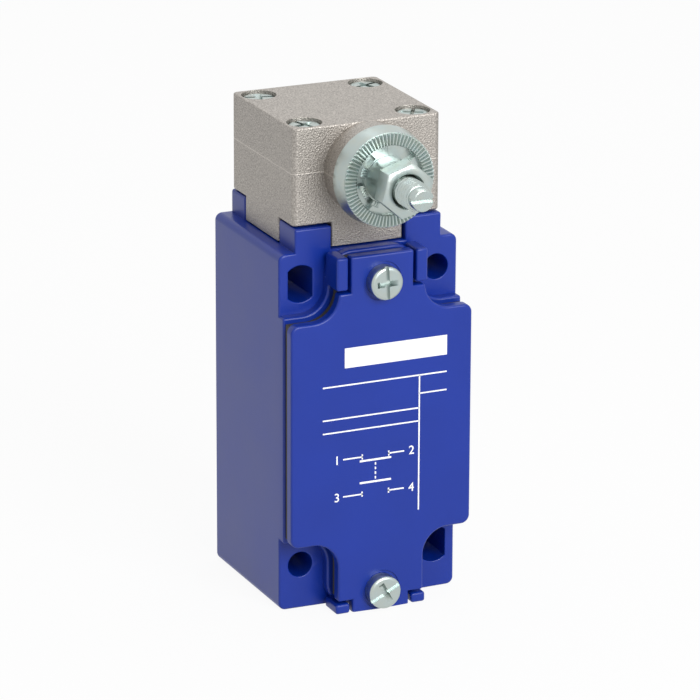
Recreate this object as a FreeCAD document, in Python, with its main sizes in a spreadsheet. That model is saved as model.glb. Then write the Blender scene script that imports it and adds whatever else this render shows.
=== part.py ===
import FreeCAD, Part
import math
import os
import re
import Sketcher

# A rotary-head limit switch with a bare spindle: millimetres, +X right, -Y towards the cover,
# +Z up. The origin is the centre of the four fixing holes, on the back face.

DOC = FreeCAD.newDocument("limit_switch")

# ---------------------------------------------------------------- driving dimensions
DIMENSIONS = {
    # housing and its fixing holes
    "housing_width": 39.4,
    "fixing_across": 30.0,
    "fixing_up": 60.0,
    "below_fixing": 9.5,
    "above_fixing": 6.5,
    "ear_depth": 33.3,
    "rim_step": 2.2,
    "fixing_hole_radius": 2.65,
    "fixing_slot_length": 7.7,
    "ear_neck_half": 10.0,
    "ear_round": 5.5,
    "ear_shoulder_up": 6.1,
    "ear_shoulder_down": 5.8,
    "housing_corner": 1.5,
    "back_wall": 3.0,
    "side_wall": 2.6,
    "chamber_top_wall": 3.3,
    "chamber_bottom_wall": 3.0,
    "channel_half": 7.0,
    "channel_back": 6.0,
    "channel_front": 26.0,
    "channel_top_wall": 3.5,
    # cable entry in the floor of the housing
    "entry_radius": 9.2,
    "entry_depth": 16.5,
    "entry_length": 10.0,
    "entry_room_half": 9.8,
    "entry_lead_in": 0.8,
    "thread_run_out": 0.5,
    # cover, its gasket and the lugs that frame it
    "cover_overhang": 0.3,
    "cover_thick": 2.1,
    "gasket_thick": 2.6,
    "gasket_inset": 0.8,
    "window_margin": 0.4,
    "cover_neck_gap": 0.5,
    "cover_shoulder_gap": 0.4,
    "cover_corner": 1.8,
    "cover_foot_gap": 0.1,
    "top_tab_half": 6.9,
    "bottom_tab_half": 6.3,
    "top_lug_inner": 7.5,
    "bottom_lug_inner": 6.9,
    "top_lug_height": 6.9,
    "bottom_lug_height": 2.1,
    "lug_gap": 0.6,
    "cover_screw_top": 5.7,
    "cover_screw_bottom": 4.2,
    "cover_dish_radius": 4.1,
    "cover_dish": 0.3,
    "cover_screw_radius": 1.95,
    "cover_screw_head": 3.5,
    "cover_screw_head_height": 2.8,
    "cover_screw_length": 11.0,
    # head and the posts that hold its corners
    "head_half": 16.15,
    "head_back": 1.0,
    "head_front": 32.4,
    "head_gap": 0.3,
    "head_height": 25.5,
    "head_corner": 1.2,
    "head_wall_top": 2.2,
    "post_width": 8.0,
    "post_front_depth": 7.3,
    "post_back_depth": 6.7,
    "post_height": 4.9,
    "spindle_height": 16.0,
    "boss_radius": 9.5,
    "boss_length": 5.9,
    "head_well_half": 7.6,
    "head_well_back": 4.2,
    "head_well_wall": 3.0,
    "head_port_half": 9.6,
    "head_port_back": 9.4,
    "head_port_front": 24.6,
    "head_floor": 3.0,
    "base_plate_thick": 2.5,
    "head_screw_side": 4.25,
    "head_screw_rear": 4.1,
    "head_screw_fore": 4.3,
    "head_screw_radius": 1.95,
    "head_screw_head": 3.45,
    "head_screw_head_height": 2.6,
    "head_screw_sunk": 0.5,
    "head_screw_length": 23.8,
    "counterbore_radius": 3.6,
    # spindle line
    "spindle_radius": 4.0,
    "spindle_tail_radius": 2.5,
    "spindle_tail_end": 2.8,
    "spindle_shoulder": 21.0,
    "spindle_flat_half": 3.4,
    "thread_radius": 3.0,
    "shank_relief": 0.2,
    "thread_free": 4.7,
    "thread_bevel": 0.6,
    "point_radius": 2.33,
    "point_length": 2.3,
    "tip_slot_width": 0.9,
    "tip_slot_depth": 1.0,
    "running_gap": 0.05,
    "bush_wall": 1.45,
    "bush_length": 6.5,
    "seal_radius": 6.2,
    "seal_length": 2.2,
    "tail_bush_end": 7.0,
    "tail_bush_start": 2.4,
    "circlip_thick": 0.8,
    "circlip_radius": 5.2,
    "circlip_groove": 0.5,
    "circlip_mouth_half": 0.9,
    # serrated drive disc, sleeve and nut
    "disc_gap": 0.3,
    "disc_thick": 4.8,
    "disc_back_radius": 10.3,
    "disc_front_radius": 9.7,
    "disc_recess_radius": 7.15,
    "disc_recess": 1.2,
    "disc_notch": 1.3,
    "disc_notch_width": 2.6,
    "sleeve_radius": 4.8,
    "sleeve_length": 5.6,
    "nut_across_flats": 10.0,
    "nut_thick": 4.3,
    "nut_face_radius": 4.75,
    "nut_mouth_radius": 3.6,
    "nut_mouth_depth": 2.0,
    "nut_turn": 18.0,
    # cam and follower
    "cam_flat": 3.6,
    "cam_rise": 2.4,
    "cam_length": 8.0,
    "cam_end_angle": 72.0,
    "cam_top": 4.6,
    "cam_shoulder_half": 4.2,
    "cam_pin_radius": 0.6,
    "cam_pin_sunk": 0.4,
    "cam_gap": 0.3,
    "plunger_depth": 17.0,
    "follower_half_x": 5.0,
    "follower_half_y": 4.0,
    "follower_thick": 2.0,
    "follower_stem": 2.0,
    "stem_end_height": 6.5,
    "stem_seal_radius": 6.0,
    "stem_seal_depth": 0.6,
    "follower_travel": 2.94,
    # springs
    "follower_coil": 3.5,
    "follower_wire": 0.4,
    "follower_turns": 4.5,
    "plunger_coil": 1.9,
    "plunger_wire": 0.25,
    "plunger_turns": 5.0,
    "bridge_coil": 1.3,
    "bridge_wire": 0.2,
    "bridge_turns": 5.0,
    "coil_end_share": 1.1,
    # contact block
    "block_half": 15.5,
    "block_front": 21.5,
    "block_top": 19.4,
    "block_bottom": 13.0,
    "block_wall": 2.4,
    "block_bay_half": 8.5,
    "block_bay_back": 6.0,
    "block_lid_thick": 1.2,
    "strip_thick": 0.8,
    "strip_half_depth": 2.0,
    "strip_inner": 4.2,
    "strip_outer": 14.5,
    "terminal_inner": 9.5,
    "terminal_height": 6.3,
    "terminal_screw_offset": 3.4,
    "contact_level": 6.0,
    "tip_at": 5.4,
    "tip_radius": 0.9,
    "tip_thick": 0.5,
    "contact_gap": 0.05,
    "bridge_half": 6.6,
    "bridge_half_depth": 1.8,
    "button_radius": 1.8,
    "button_gap": 0.3,
    "carrier_half_x": 2.6,
    "carrier_half_y": 3.2,
    "carrier_top": 13.2,
    "carrier_bottom": 4.0,
    "window_top": 10.5,
    "terminal_screw_radius": 1.45,
    "terminal_screw_head": 2.6,
    "terminal_screw_head_height": 1.8,
    "terminal_screw_length": 5.5,
    "clamp_half": 2.4,
    "clamp_thick": 0.8,
    "block_screw_x": 12.0,
    "block_screw_up": 16.4,
    "block_screw_down": 9.8,
    "block_screw_length": 20.6,
    "earth_x": 12.6,
    "earth_z": 17.4,
    "earth_head": 2.9,
    "earth_head_height": 2.0,
    "earth_length": 3.0,
    "earth_washer_radius": 3.4,
    "earth_washer_thick": 0.8,
    # shared by several pieces
    "overcut": 1.0,
    "thread_gap": 0.05,
    "clear_gap": 0.2,
    "drive_width": 0.9,
    "drive_depth": 1.2,
    "drive_cross_share": 0.62,
    "rim_round": 0.5,
}

# Places that follow from the driving dimensions.
DERIVED = {
    "half_width": "housing_width / 2",
    "hole_x": "fixing_across / 2",
    "hole_z": "fixing_up / 2",
    "rim_depth": "ear_depth + rim_step",
    "cover_width": "housing_width + 2 * cover_overhang",
    "cover_neck_half": "ear_neck_half - cover_neck_gap",
    "housing_foot": "-(hole_z + below_fixing)",
    "housing_top": "hole_z + above_fixing",
    "upper_shoulder": "hole_z - ear_shoulder_up",
    "lower_shoulder": "-hole_z + ear_shoulder_down",
    "chamber_top": "upper_shoulder - chamber_top_wall",
    "chamber_bottom": "-(lower_shoulder) - chamber_bottom_wall",
    "cover_back": "rim_depth + gasket_thick",
    "cover_front": "cover_back + cover_thick",
    "cover_seat": "cover_front - cover_dish",
    "screw_in_housing": "cover_screw_length - cover_thick - gasket_thick",
    "cover_screw_high": "housing_top - cover_screw_top",
    "cover_screw_low": "housing_foot + cover_screw_bottom",
    "head_foot": "housing_top + head_gap",
    "head_top": "housing_top + head_height",
    "post_top": "housing_top + post_height",
    "axis_z": "housing_top + spindle_height",
    "head_well_front": "head_front - head_well_wall",
    "head_screw_across": "2 * (head_half - head_screw_side)",
    "head_screw_back": "head_back + head_screw_rear",
    "head_screw_front": "head_front - head_screw_fore",
    "boss_front": "head_front + boss_length",
    "disc_back": "boss_front + disc_gap",
    "disc_front": "disc_back + disc_thick",
    "disc_floor": "disc_front - disc_recess",
    "nut_back": "disc_floor + sleeve_length",
    "nut_front": "nut_back + nut_thick",
    "thread_end": "nut_front + thread_free",
    "spindle_tip": "thread_end + point_length",
    "bush_radius": "spindle_radius + bush_wall",
    "tail_bush_radius": "spindle_tail_radius + bush_wall",
    "seal_back": "boss_front - seal_length",
    "circlip_front": "head_well_front - disc_gap",
    "circlip_back": "circlip_front - circlip_thick",
    "head_screw_seat": "head_top - head_screw_sunk - head_screw_head_height",
    "plate_foot": "head_foot + head_gap",
    "plate_top": "plate_foot + base_plate_thick",
    "follower_top": "axis_z - cam_flat - cam_gap",
    "follower_foot": "follower_top - follower_thick",
    "stem_end": "housing_top - stem_end_height",
    "button_top": "stem_end - button_gap",
    "bridge_top": "contact_level - contact_gap",
    "bridge_plate_top": "bridge_top - tip_thick",
    "bridge_plate_foot": "bridge_plate_top - strip_thick",
    "bridge_foot": "bridge_plate_foot - tip_thick",
    "make_level": "bridge_foot - follower_travel - contact_gap",
    "break_strip": "contact_level + tip_thick",
    "make_strip": "make_level - tip_thick - strip_thick",
    "block_bay_top": "block_top - block_wall",
    "block_bay_foot": "-block_bottom + block_wall",
}

SHEET = DOC.addObject("Spreadsheet::Sheet", "Dims")
CELLS = {alias: str(size) for alias, size in DIMENSIONS.items()}
CELLS.update({alias: "=" + text for alias, text in DERIVED.items()})
for row, alias in enumerate(CELLS, start=1):
    SHEET.set(f"A{row}", alias)
    SHEET.setAlias(f"B{row}", alias)
for row, content in enumerate(CELLS.values(), start=1):
    SHEET.set(f"B{row}", content)
DOC.recompute()

FRONTWARD = FreeCAD.Rotation(FreeCAD.Vector(1, 0, 0), 90)   # local +Z becomes -Y
UPRIGHT = FreeCAD.Rotation()
NODES = {}


# ---------------------------------------------------------------- helpers
def formula(text):
    """Write a size as an expression on the sheet's cells."""
    def cell(match):
        word = match.group(0)
        return "Dims." + word if word in CELLS else word
    return re.sub(r"[a-z][a-z_]+", cell, str(text))


def bind(item, **sizes):
    """Tie properties of an object to the sheet."""
    for name, text in sizes.items():
        item.setExpression(name, formula(text))


def seat(item, at, turn=UPRIGHT):
    """Put an object at a place that follows the sheet."""
    item.Placement = FreeCAD.Placement(FreeCAD.Vector(), turn)
    for axis, text in zip("xyz", at):
        item.setExpression("Placement.Base." + axis, formula(text))


def keep(item, node):
    """Register a finished sub-part under its own name."""
    item.Label = node
    NODES[node] = item
    return item


def body(name):
    return DOC.addObject("PartDesign::Body", name)


def block(host, kind, name, low, high):
    """A box between two corners, added to or cut from a body."""
    item = host.newObject(f"PartDesign::{kind}Box", name)
    spans = [f"({top}) - ({foot})" for foot, top in zip(low, high)]
    bind(item, Length=spans[0], Width=spans[1], Height=spans[2])
    seat(item, low)
    return item


def round_bar(host, kind, name, radius, length, at, turn=UPRIGHT):
    """A cylinder that starts at a point, added to or cut from a body."""
    item = host.newObject(f"PartDesign::{kind}Cylinder", name)
    bind(item, Radius=radius, Height=length)
    seat(item, at, turn)
    return item


def taper(host, kind, name, start, end, length, at, turn=UPRIGHT):
    """A cone from one radius to another, added to or cut from a body."""
    item = host.newObject(f"PartDesign::{kind}Cone", name)
    bind(item, Radius1=start, Radius2=end, Height=length)
    seat(item, at, turn)
    return item


def edges_along(shape, direction, test):
    """Names of the straight edges in one direction whose middle passes the test."""
    names = []
    for number, edge in enumerate(shape.Edges, start=1):
        if edge.Curve.TypeId != "Part::GeomLine":
            continue
        start = edge.Vertexes[0].Point
        end = edge.Vertexes[-1].Point
        step = end - start
        across = step.cross(direction).Length
        if across < 1e-6 * step.Length and test((start + end) * 0.5):
            names.append(f"Edge{number}")
    return names


def circles_at(shape, test):
    """Names of the round edges whose centre and radius pass the test."""
    names = []
    for number, edge in enumerate(shape.Edges, start=1):
        curve = edge.Curve
        if curve.TypeId == "Part::GeomCircle" and test(curve.Center, curve.Radius):
            names.append(f"Edge{number}")
    return names


def soften(host, kind, name, names, **sizes):
    """Fillet or chamfer the named edges of a body's last feature."""
    base = host.Tip
    item = host.newObject(f"PartDesign::{kind}", name)
    item.Base = (base, names)
    bind(item, **sizes)
    DOC.recompute()
    return item


def number(alias):
    """The value of a cell, for choosing edges and for curves that follow a formula."""
    return float(SHEET.get(alias))


X_AXIS = FreeCAD.Vector(1, 0, 0)
Y_AXIS = FreeCAD.Vector(0, 1, 0)
Z_AXIS = FreeCAD.Vector(0, 0, 1)
NEAR = 0.01
CAM_STEPS = 12
NOTCH_STEPS = (0, 45, 135, 180, 225, 315)   # degrees round the drive disc
SIDES = (("left", -1), ("right", 1))


def mirrored(side, inner, outer):
    """The two x limits of a feature on one side, in rising order."""
    if side > 0:
        return inner, outer
    return f"-({outer})", f"-({inner})"


def screw(name, at, turn, spin, head, head_height, shank, length):
    """A pan-head screw whose drive is a cross with one long slot."""
    item = body(name)
    round_bar(item, "Additive", name + "_head", head, head_height, ("0", "0", "0"))
    round_bar(item, "Additive", name + "_shank", shank, length, ("0", "0", f"-({length})"))
    DOC.recompute()
    height = item.Tip.Shape.BoundBox.ZMax
    rim = circles_at(item.Tip.Shape, lambda centre, radius: abs(centre.z - height) < NEAR)
    soften(item, "Fillet", name + "_rim", rim, Radius="rim_round")
    slot_foot = f"({head_height}) - drive_depth"
    slot_top = f"({head_height}) + overcut"
    cross = f"({head}) * drive_cross_share"
    block(item, "Subtractive", name + "_slot",
          (f"-({head}) - overcut", "-drive_width / 2", slot_foot),
          (f"({head}) + overcut", "drive_width / 2", slot_top))
    block(item, "Subtractive", name + "_cross",
          ("-drive_width / 2", f"-{cross}", slot_foot),
          ("drive_width / 2", cross, slot_top))
    seat(item, at, turn * FreeCAD.Rotation(Z_AXIS, spin))
    return item


def group(node, members):
    """Several separate identical pieces in one node."""
    item = DOC.addObject("Part::Compound", node + "_group")
    item.Links = members
    return keep(item, node)


def ring(node, radius, bore, back, length, height):
    """A plain ring on the spindle line, from a depth towards the front."""
    item = body(node + "_body")
    start = ("0", f"-({back})", height)
    round_bar(item, "Additive", node + "_outer", radius, length, start, FRONTWARD)
    round_bar(item, "Subtractive", node + "_bore", bore, length, start, FRONTWARD)
    return keep(item, node)


def coil_spring(node, coil, wire, turns, foot, top, depth):
    """An upright compression spring between two levels."""
    helix = DOC.addObject("Part::Helix", node + "_path")
    helix.SegmentLength = 0
    height = f"(({top}) - ({foot}) - 2 * coil_end_share * ({wire}))"
    bind(helix, Radius=coil, Height=height, Pitch=f"{height} / ({turns})")
    seat(helix, ("0", f"-({depth})", f"({foot}) + coil_end_share * ({wire})"))
    section = DOC.addObject("Part::Circle", node + "_wire")
    bind(section, Radius=wire)
    seat(section, (coil, f"-({depth})", f"({foot}) + coil_end_share * ({wire})"), FRONTWARD)
    DOC.recompute()
    item = DOC.addObject("Part::Sweep", node + "_sweep")
    item.Sections = [section]
    item.Spine = (helix, ["Edge1"])
    item.Solid = True
    item.Frenet = True
    return keep(item, node)


# ---------------------------------------------------------------- housing
def ear_cuts(host, name, neck, upper, lower, back, front):
    """Clear the four corners in front of the fixing ears, with a round inner corner each."""
    far = "housing_width"
    for word, side in SIDES:
        low_x, high_x = mirrored(side, neck, far)
        block(host, "Subtractive", f"{name}_upper_{word}",
              (low_x, f"-({front}) - overcut", upper), (high_x, f"-({back})", "housing_top + overcut"))
        block(host, "Subtractive", f"{name}_lower_{word}",
              (low_x, f"-({front}) - overcut", "housing_foot - overcut"), (high_x, f"-({back})", lower))


def vertical_corner(half_x, depth_range):
    """A test for an edge along Y at a given x, within a range of depth."""
    near, far = depth_range

    def test(middle):
        return abs(abs(middle.x) - half_x) < NEAR and near < -middle.y < far
    return test


def fixing_slot(host, name, side, level):
    """A fixing hole with two flat sides, which lets the switch be moved up or down."""
    sketch = host.newObject("Sketcher::SketchObject", name + "_sketch")
    plane = [item for item in host.Origin.OriginFeatures if item.Role == "XZ_Plane"][0]
    sketch.AttachmentSupport = (plane, [""])
    sketch.MapMode = "FlatFace"
    radius = number("fixing_slot_length") / 2
    half = number("fixing_hole_radius")
    centre = FreeCAD.Vector(side * number("fixing_across") / 2, level * number("fixing_up") / 2, 0)
    lean = math.acos(half / radius)
    circle = Part.Circle(centre, FreeCAD.Vector(0, 0, 1), radius)
    rise = radius * math.sin(lean)
    upper = sketch.addGeometry(Part.ArcOfCircle(circle, lean, math.pi - lean))
    lower = sketch.addGeometry(Part.ArcOfCircle(circle, math.pi + lean, 2 * math.pi - lean))
    corners = [centre + FreeCAD.Vector(x * half, y * rise, 0)
               for x, y in ((-1, 1), (-1, -1), (1, -1), (1, 1))]
    left = sketch.addGeometry(Part.LineSegment(corners[0], corners[1]))
    right = sketch.addGeometry(Part.LineSegment(corners[2], corners[3]))
    for first, first_end, second, second_end in (
            (upper, 2, left, 1), (left, 2, lower, 1), (lower, 2, right, 1), (right, 2, upper, 1),
            (upper, 3, lower, 3)):
        sketch.addConstraint(Sketcher.Constraint("Coincident", first, first_end, second, second_end))
    sketch.addConstraint(Sketcher.Constraint("Vertical", left))
    sketch.addConstraint(Sketcher.Constraint("Vertical", right))
    sketch.addConstraint(Sketcher.Constraint("Symmetric", left, 1, right, 1, upper, 3))
    origin = (-1, 1)
    middle = (upper, 3)
    across = (origin + middle) if side > 0 else (middle + origin)
    up = (origin + middle) if level > 0 else (middle + origin)
    sizes = (
        (Sketcher.Constraint("Radius", upper, radius), "fixing_slot_length / 2"),
        (Sketcher.Constraint("DistanceX", left, 1, right, 2, 2 * half), "2 * fixing_hole_radius"),
        (Sketcher.Constraint("DistanceX", *across, abs(centre.x)), "hole_x"),
        (Sketcher.Constraint("DistanceY", *up, abs(centre.y)), "hole_z"),
    )
    for constraint, text in sizes:
        place = sketch.addConstraint(constraint)
        sketch.setExpression(f"Constraints[{place}]", formula(text))
    pocket = host.newObject("PartDesign::Pocket", name)
    pocket.Profile = sketch
    pocket.Type = "ThroughAll"
    pocket.Midplane = True


def make_housing():
    item = body("housing_body")
    block(item, "Additive", "housing_block",
          ("-half_width", "-rim_depth", "housing_foot"), ("half_width", "0", "housing_top"))
    DOC.recompute()
    outer = number("housing_width") / 2
    rounds = edges_along(item.Tip.Shape, Y_AXIS, vertical_corner(outer, (0, 100)))
    soften(item, "Fillet", "housing_rounds", rounds, Radius="housing_corner")
    ear_cuts(item, "ear", "ear_neck_half", "upper_shoulder", "lower_shoulder", "ear_depth", "rim_depth")
    DOC.recompute()
    neck = number("ear_neck_half")
    inner = edges_along(item.Tip.Shape, Y_AXIS, vertical_corner(neck, (number("ear_depth"), 100)))
    soften(item, "Fillet", "ear_rounds", inner, Radius="ear_round")
    for word, side in SIDES:
        low_x, high_x = mirrored(side, "top_lug_inner", "ear_neck_half")
        block(item, "Additive", "top_lug_" + word,
              (low_x, "-cover_front", "housing_top - top_lug_height"),
              (high_x, "-rim_depth + overcut", "housing_top"))
        low_x, high_x = mirrored(side, "bottom_lug_inner", "ear_neck_half")
        block(item, "Additive", "bottom_lug_" + word,
              (low_x, "-cover_front", "housing_foot"),
              (high_x, "-rim_depth + overcut", "housing_foot + bottom_lug_height"))
        low_x, high_x = mirrored(side, "head_half - post_width", "head_half")
        block(item, "Additive", "front_post_" + word,
              (low_x, "-ear_depth", "housing_top - overcut"),
              (high_x, "-(head_front - post_front_depth)", "post_top"))
        block(item, "Additive", "back_post_" + word,
              (low_x, "-(head_back + post_back_depth)", "housing_top - overcut"),
              (high_x, "-head_back", "post_top"))
    block(item, "Subtractive", "chamber",
          ("-(half_width - side_wall)", "-rim_depth - overcut", "-chamber_bottom"),
          ("half_width - side_wall", "-back_wall", "chamber_top"))
    block(item, "Subtractive", "plunger_channel",
          ("-channel_half", "-channel_front", "chamber_top - overcut"),
          ("channel_half", "-channel_back", "housing_top - channel_top_wall"))
    block(item, "Subtractive", "entry_room",
          ("-entry_room_half", "-channel_front - thread_run_out", "housing_foot + entry_length"),
          ("entry_room_half", "-channel_back", "-chamber_bottom + overcut"))
    round_bar(item, "Subtractive", "cable_entry", "entry_radius", "entry_length + overcut",
              ("0", "-entry_depth", "housing_foot - overcut / 2"))
    taper(item, "Subtractive", "entry_lead_in_cone", "entry_radius + entry_lead_in", "entry_radius",
          "entry_lead_in", ("0", "-entry_depth", "housing_foot"))
    round_bar(item, "Subtractive", "stem_hole", "follower_stem + clear_gap", "channel_top_wall + 2 * overcut",
              ("0", "-plunger_depth", "housing_top - channel_top_wall - overcut"))
    round_bar(item, "Subtractive", "stem_seal_seat", "stem_seal_radius + clear_gap",
              "stem_seal_depth + overcut", ("0", "-plunger_depth", "housing_top - stem_seal_depth"))
    for word, side, level in (("upper_right", 1, 1), ("lower_left", -1, -1)):
        round_bar(item, "Subtractive", "fixing_hole_" + word, "fixing_hole_radius", "rim_depth + 2 * overcut",
                  (f"{side} * hole_x", "1", f"{level} * hole_z"), FRONTWARD)
    fixing_slot(item, "fixing_slot_upper_left", -1, 1)
    fixing_slot(item, "fixing_slot_lower_right", 1, -1)
    for word, level in (("top", "cover_screw_high"), ("bottom", "cover_screw_low")):
        round_bar(item, "Subtractive", "cover_thread_" + word, "cover_screw_radius + thread_gap",
                  "screw_in_housing + overcut",
                  ("0", "-rim_depth + screw_in_housing + thread_run_out", level), FRONTWARD)
    for word, x, y, z in head_screw_places():
        round_bar(item, "Subtractive", "head_thread_" + word, "head_screw_radius + thread_gap",
                  "post_top - head_screw_seat + head_screw_length + thread_run_out + overcut",
                  (x, y, "head_screw_seat - head_screw_length - thread_run_out"))
    for word, x, z in block_screw_places():
        round_bar(item, "Subtractive", "block_thread_" + word, "terminal_screw_radius + thread_gap",
                  "back_wall", (x, "-(block_front - block_screw_length) + 2 * thread_gap", z), FRONTWARD)
    round_bar(item, "Subtractive", "earth_thread", "terminal_screw_radius + thread_gap", "back_wall",
              ("-earth_x", "-(back_wall + earth_washer_thick - earth_length) + 2 * thread_gap", "-earth_z"),
              FRONTWARD)
    keep(item, "body_housing")


def head_screw_places():
    """The four head screws: word, x, y and seat level."""
    places = []
    for word, side in SIDES:
        for row, depth in (("back", "head_screw_back"), ("front", "head_screw_front")):
            places.append((f"{row}_{word}", f"{side} * head_screw_across / 2", f"-{depth}",
                           "head_screw_seat"))
    return places


def block_screw_places():
    """The two screws of the contact block, on one diagonal: word, x and z."""
    return (("upper", "block_screw_x", "block_screw_up"), ("lower", "-block_screw_x", "-block_screw_down"))


# ---------------------------------------------------------------- cover
def make_cover():
    item = body("cover_body")
    block(item, "Additive", "cover_plate",
          ("-cover_width / 2", "-cover_front", "housing_foot + cover_foot_gap"),
          ("cover_width / 2", "-cover_back", "housing_top"))
    ear_cuts(item, "cover_ear", "cover_neck_half", "upper_shoulder - cover_shoulder_gap",
             "lower_shoulder + cover_shoulder_gap", "cover_back - overcut", "cover_front")
    DOC.recompute()
    neck = edges_along(item.Tip.Shape, Y_AXIS, vertical_corner(number("cover_neck_half"), (0, 100)))
    shoulder_top = number("fixing_up") / 2 - number("ear_shoulder_up") + NEAR
    inner = [name for name in neck
             if abs(item.Tip.Shape.getElement(name).Vertexes[0].Point.z) < shoulder_top]
    soften(item, "Fillet", "cover_ear_rounds", inner, Radius="ear_round")
    outer = edges_along(item.Tip.Shape, Y_AXIS, vertical_corner(number("cover_width") / 2, (0, 100)))
    soften(item, "Fillet", "cover_corners", outer, Radius="cover_corner")
    for word, side in SIDES:
        low_x, high_x = mirrored(side, "top_tab_half", "cover_width / 2")
        block(item, "Subtractive", "top_notch_" + word,
              (low_x, "-cover_front - overcut", "housing_top - top_lug_height - lug_gap"),
              (high_x, "-cover_back + overcut", "housing_top + overcut"))
        low_x, high_x = mirrored(side, "bottom_tab_half", "cover_width / 2")
        block(item, "Subtractive", "bottom_notch_" + word,
              (low_x, "-cover_front - overcut", "housing_foot - overcut"),
              (high_x, "-cover_back + overcut", "housing_foot + bottom_lug_height + lug_gap"))
    for word, level in (("top", "cover_screw_high"), ("bottom", "cover_screw_low")):
        round_bar(item, "Subtractive", "cover_hole_" + word, "cover_screw_radius + clear_gap",
                  "cover_thick + 2 * overcut", ("0", "-cover_back + overcut", level), FRONTWARD)
        round_bar(item, "Subtractive", "cover_dish_" + word, "cover_dish_radius", "cover_dish + overcut",
                  ("0", "-cover_seat", level), FRONTWARD)
    keep(item, "cover")


def make_gasket():
    """A flat rubber sheet with the outline of the cover, open over the contact chamber."""
    item = body("gasket_body")
    edge = "cover_width / 2 - gasket_inset"
    inside = "half_width - side_wall - window_margin"
    block(item, "Additive", "gasket_sheet",
          (f"-({edge})", "-cover_back", "housing_foot + bottom_lug_height + gasket_inset"),
          (edge, "-rim_depth", "housing_top - gasket_inset"))
    ear_cuts(item, "gasket_ear", "cover_neck_half - gasket_inset",
             "upper_shoulder - cover_shoulder_gap - gasket_inset",
             "lower_shoulder + cover_shoulder_gap + gasket_inset", "rim_depth - overcut", "cover_back")
    DOC.recompute()
    half = number("cover_neck_half") - number("gasket_inset")
    top = number("fixing_up") / 2 - number("ear_shoulder_up") + NEAR
    inner = [name for name in edges_along(item.Tip.Shape, Y_AXIS, vertical_corner(half, (0, 100)))
             if abs(item.Tip.Shape.getElement(name).Vertexes[0].Point.z) < top]
    soften(item, "Fillet", "gasket_ear_rounds", inner, Radius="ear_round + gasket_inset")
    for word, side in SIDES:
        low_x, high_x = mirrored(side, "top_lug_inner - gasket_inset", "cover_width / 2")
        block(item, "Subtractive", "gasket_notch_" + word,
              (low_x, "-cover_back - overcut", "housing_top - top_lug_height - gasket_inset"),
              (high_x, "-rim_depth + overcut", "housing_top + overcut"))
    block(item, "Subtractive", "gasket_window",
          (f"-({inside})", "-cover_back - overcut", "-chamber_bottom + window_margin"),
          (inside, "-rim_depth + overcut", "chamber_top - window_margin"))
    for word, level in (("top", "cover_screw_high"), ("bottom", "cover_screw_low")):
        round_bar(item, "Subtractive", "gasket_hole_" + word, "cover_screw_radius + clear_gap",
                  "gasket_thick + 2 * overcut", ("0", "-rim_depth + overcut", level), FRONTWARD)
    keep(item, "cover_gasket")


def make_cover_screws():
    members = []
    for word, level, spin in (("top", "cover_screw_high", 90), ("bottom", "cover_screw_low", 25)):
        members.append(screw("cover_screw_" + word, ("0", "-cover_seat", level), FRONTWARD, spin,
                             "cover_screw_head", "cover_screw_head_height", "cover_screw_radius",
                             "cover_screw_length"))
    group("cover_screws", members)


# ---------------------------------------------------------------- head
def make_head():
    item = body("head_body")
    block(item, "Additive", "head_block",
          ("-head_half", "-head_front", "head_foot"), ("head_half", "-head_back", "head_top"))
    DOC.recompute()
    upright = edges_along(item.Tip.Shape, Z_AXIS, lambda middle: True)
    soften(item, "Fillet", "head_corners", upright, Radius="head_corner")
    for word, side in SIDES:
        low_x, high_x = mirrored(side, "head_half - post_width - head_gap", "head_half + overcut")
        block(item, "Subtractive", "front_corner_" + word,
              (low_x, "-head_front - overcut", "head_foot - overcut"),
              (high_x, "-(head_front - post_front_depth - head_gap)", "post_top + head_gap"))
        block(item, "Subtractive", "back_corner_" + word,
              (low_x, "-(head_back + post_back_depth + head_gap)", "head_foot - overcut"),
              (high_x, "-head_back + overcut", "post_top + head_gap"))
    round_bar(item, "Additive", "head_boss", "boss_radius", "boss_length + overcut",
              ("0", "-head_front + overcut", "axis_z"), FRONTWARD)
    block(item, "Subtractive", "head_well",
          ("-head_well_half", "-head_well_front", "head_foot + head_floor"),
          ("head_well_half", "-head_well_back", "head_top - head_wall_top"))
    block(item, "Subtractive", "head_port",
          ("-head_port_half", "-head_port_front", "head_foot - overcut"),
          ("head_port_half", "-head_port_back", "head_top - head_wall_top"))
    round_bar(item, "Additive", "tail_boss", "tail_bush_radius + bush_wall",
              "tail_bush_end - head_back - overcut", ("0", "-head_back - overcut", "axis_z"), FRONTWARD)
    round_bar(item, "Subtractive", "tail_bush_seat", "tail_bush_radius", "tail_bush_end",
              ("0", "-tail_bush_start", "axis_z"), FRONTWARD)
    round_bar(item, "Subtractive", "bush_seat", "bush_radius", "boss_front - head_well_front + 2 * overcut",
              ("0", "-head_well_front + overcut", "axis_z"), FRONTWARD)
    round_bar(item, "Subtractive", "seal_seat", "seal_radius", "seal_length + overcut",
              ("0", "-seal_back", "axis_z"), FRONTWARD)
    for word, x, y, z in head_screw_places():
        round_bar(item, "Subtractive", "head_hole_" + word, "head_screw_radius + clear_gap", "head_height",
                  (x, y, "head_foot - overcut"))
        round_bar(item, "Subtractive", "counterbore_" + word, "counterbore_radius", "head_height",
                  (x, y, z))
    keep(item, "head_housing")


def make_head_screws():
    members = []
    for (word, x, y, z), spin in zip(head_screw_places(), (20, 75, 150, 110)):
        members.append(screw("head_screw_" + word, (x, y, z), UPRIGHT, spin, "head_screw_head",
                             "head_screw_head_height", "head_screw_radius", "head_screw_length"))
    group("head_screws", members)


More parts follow.
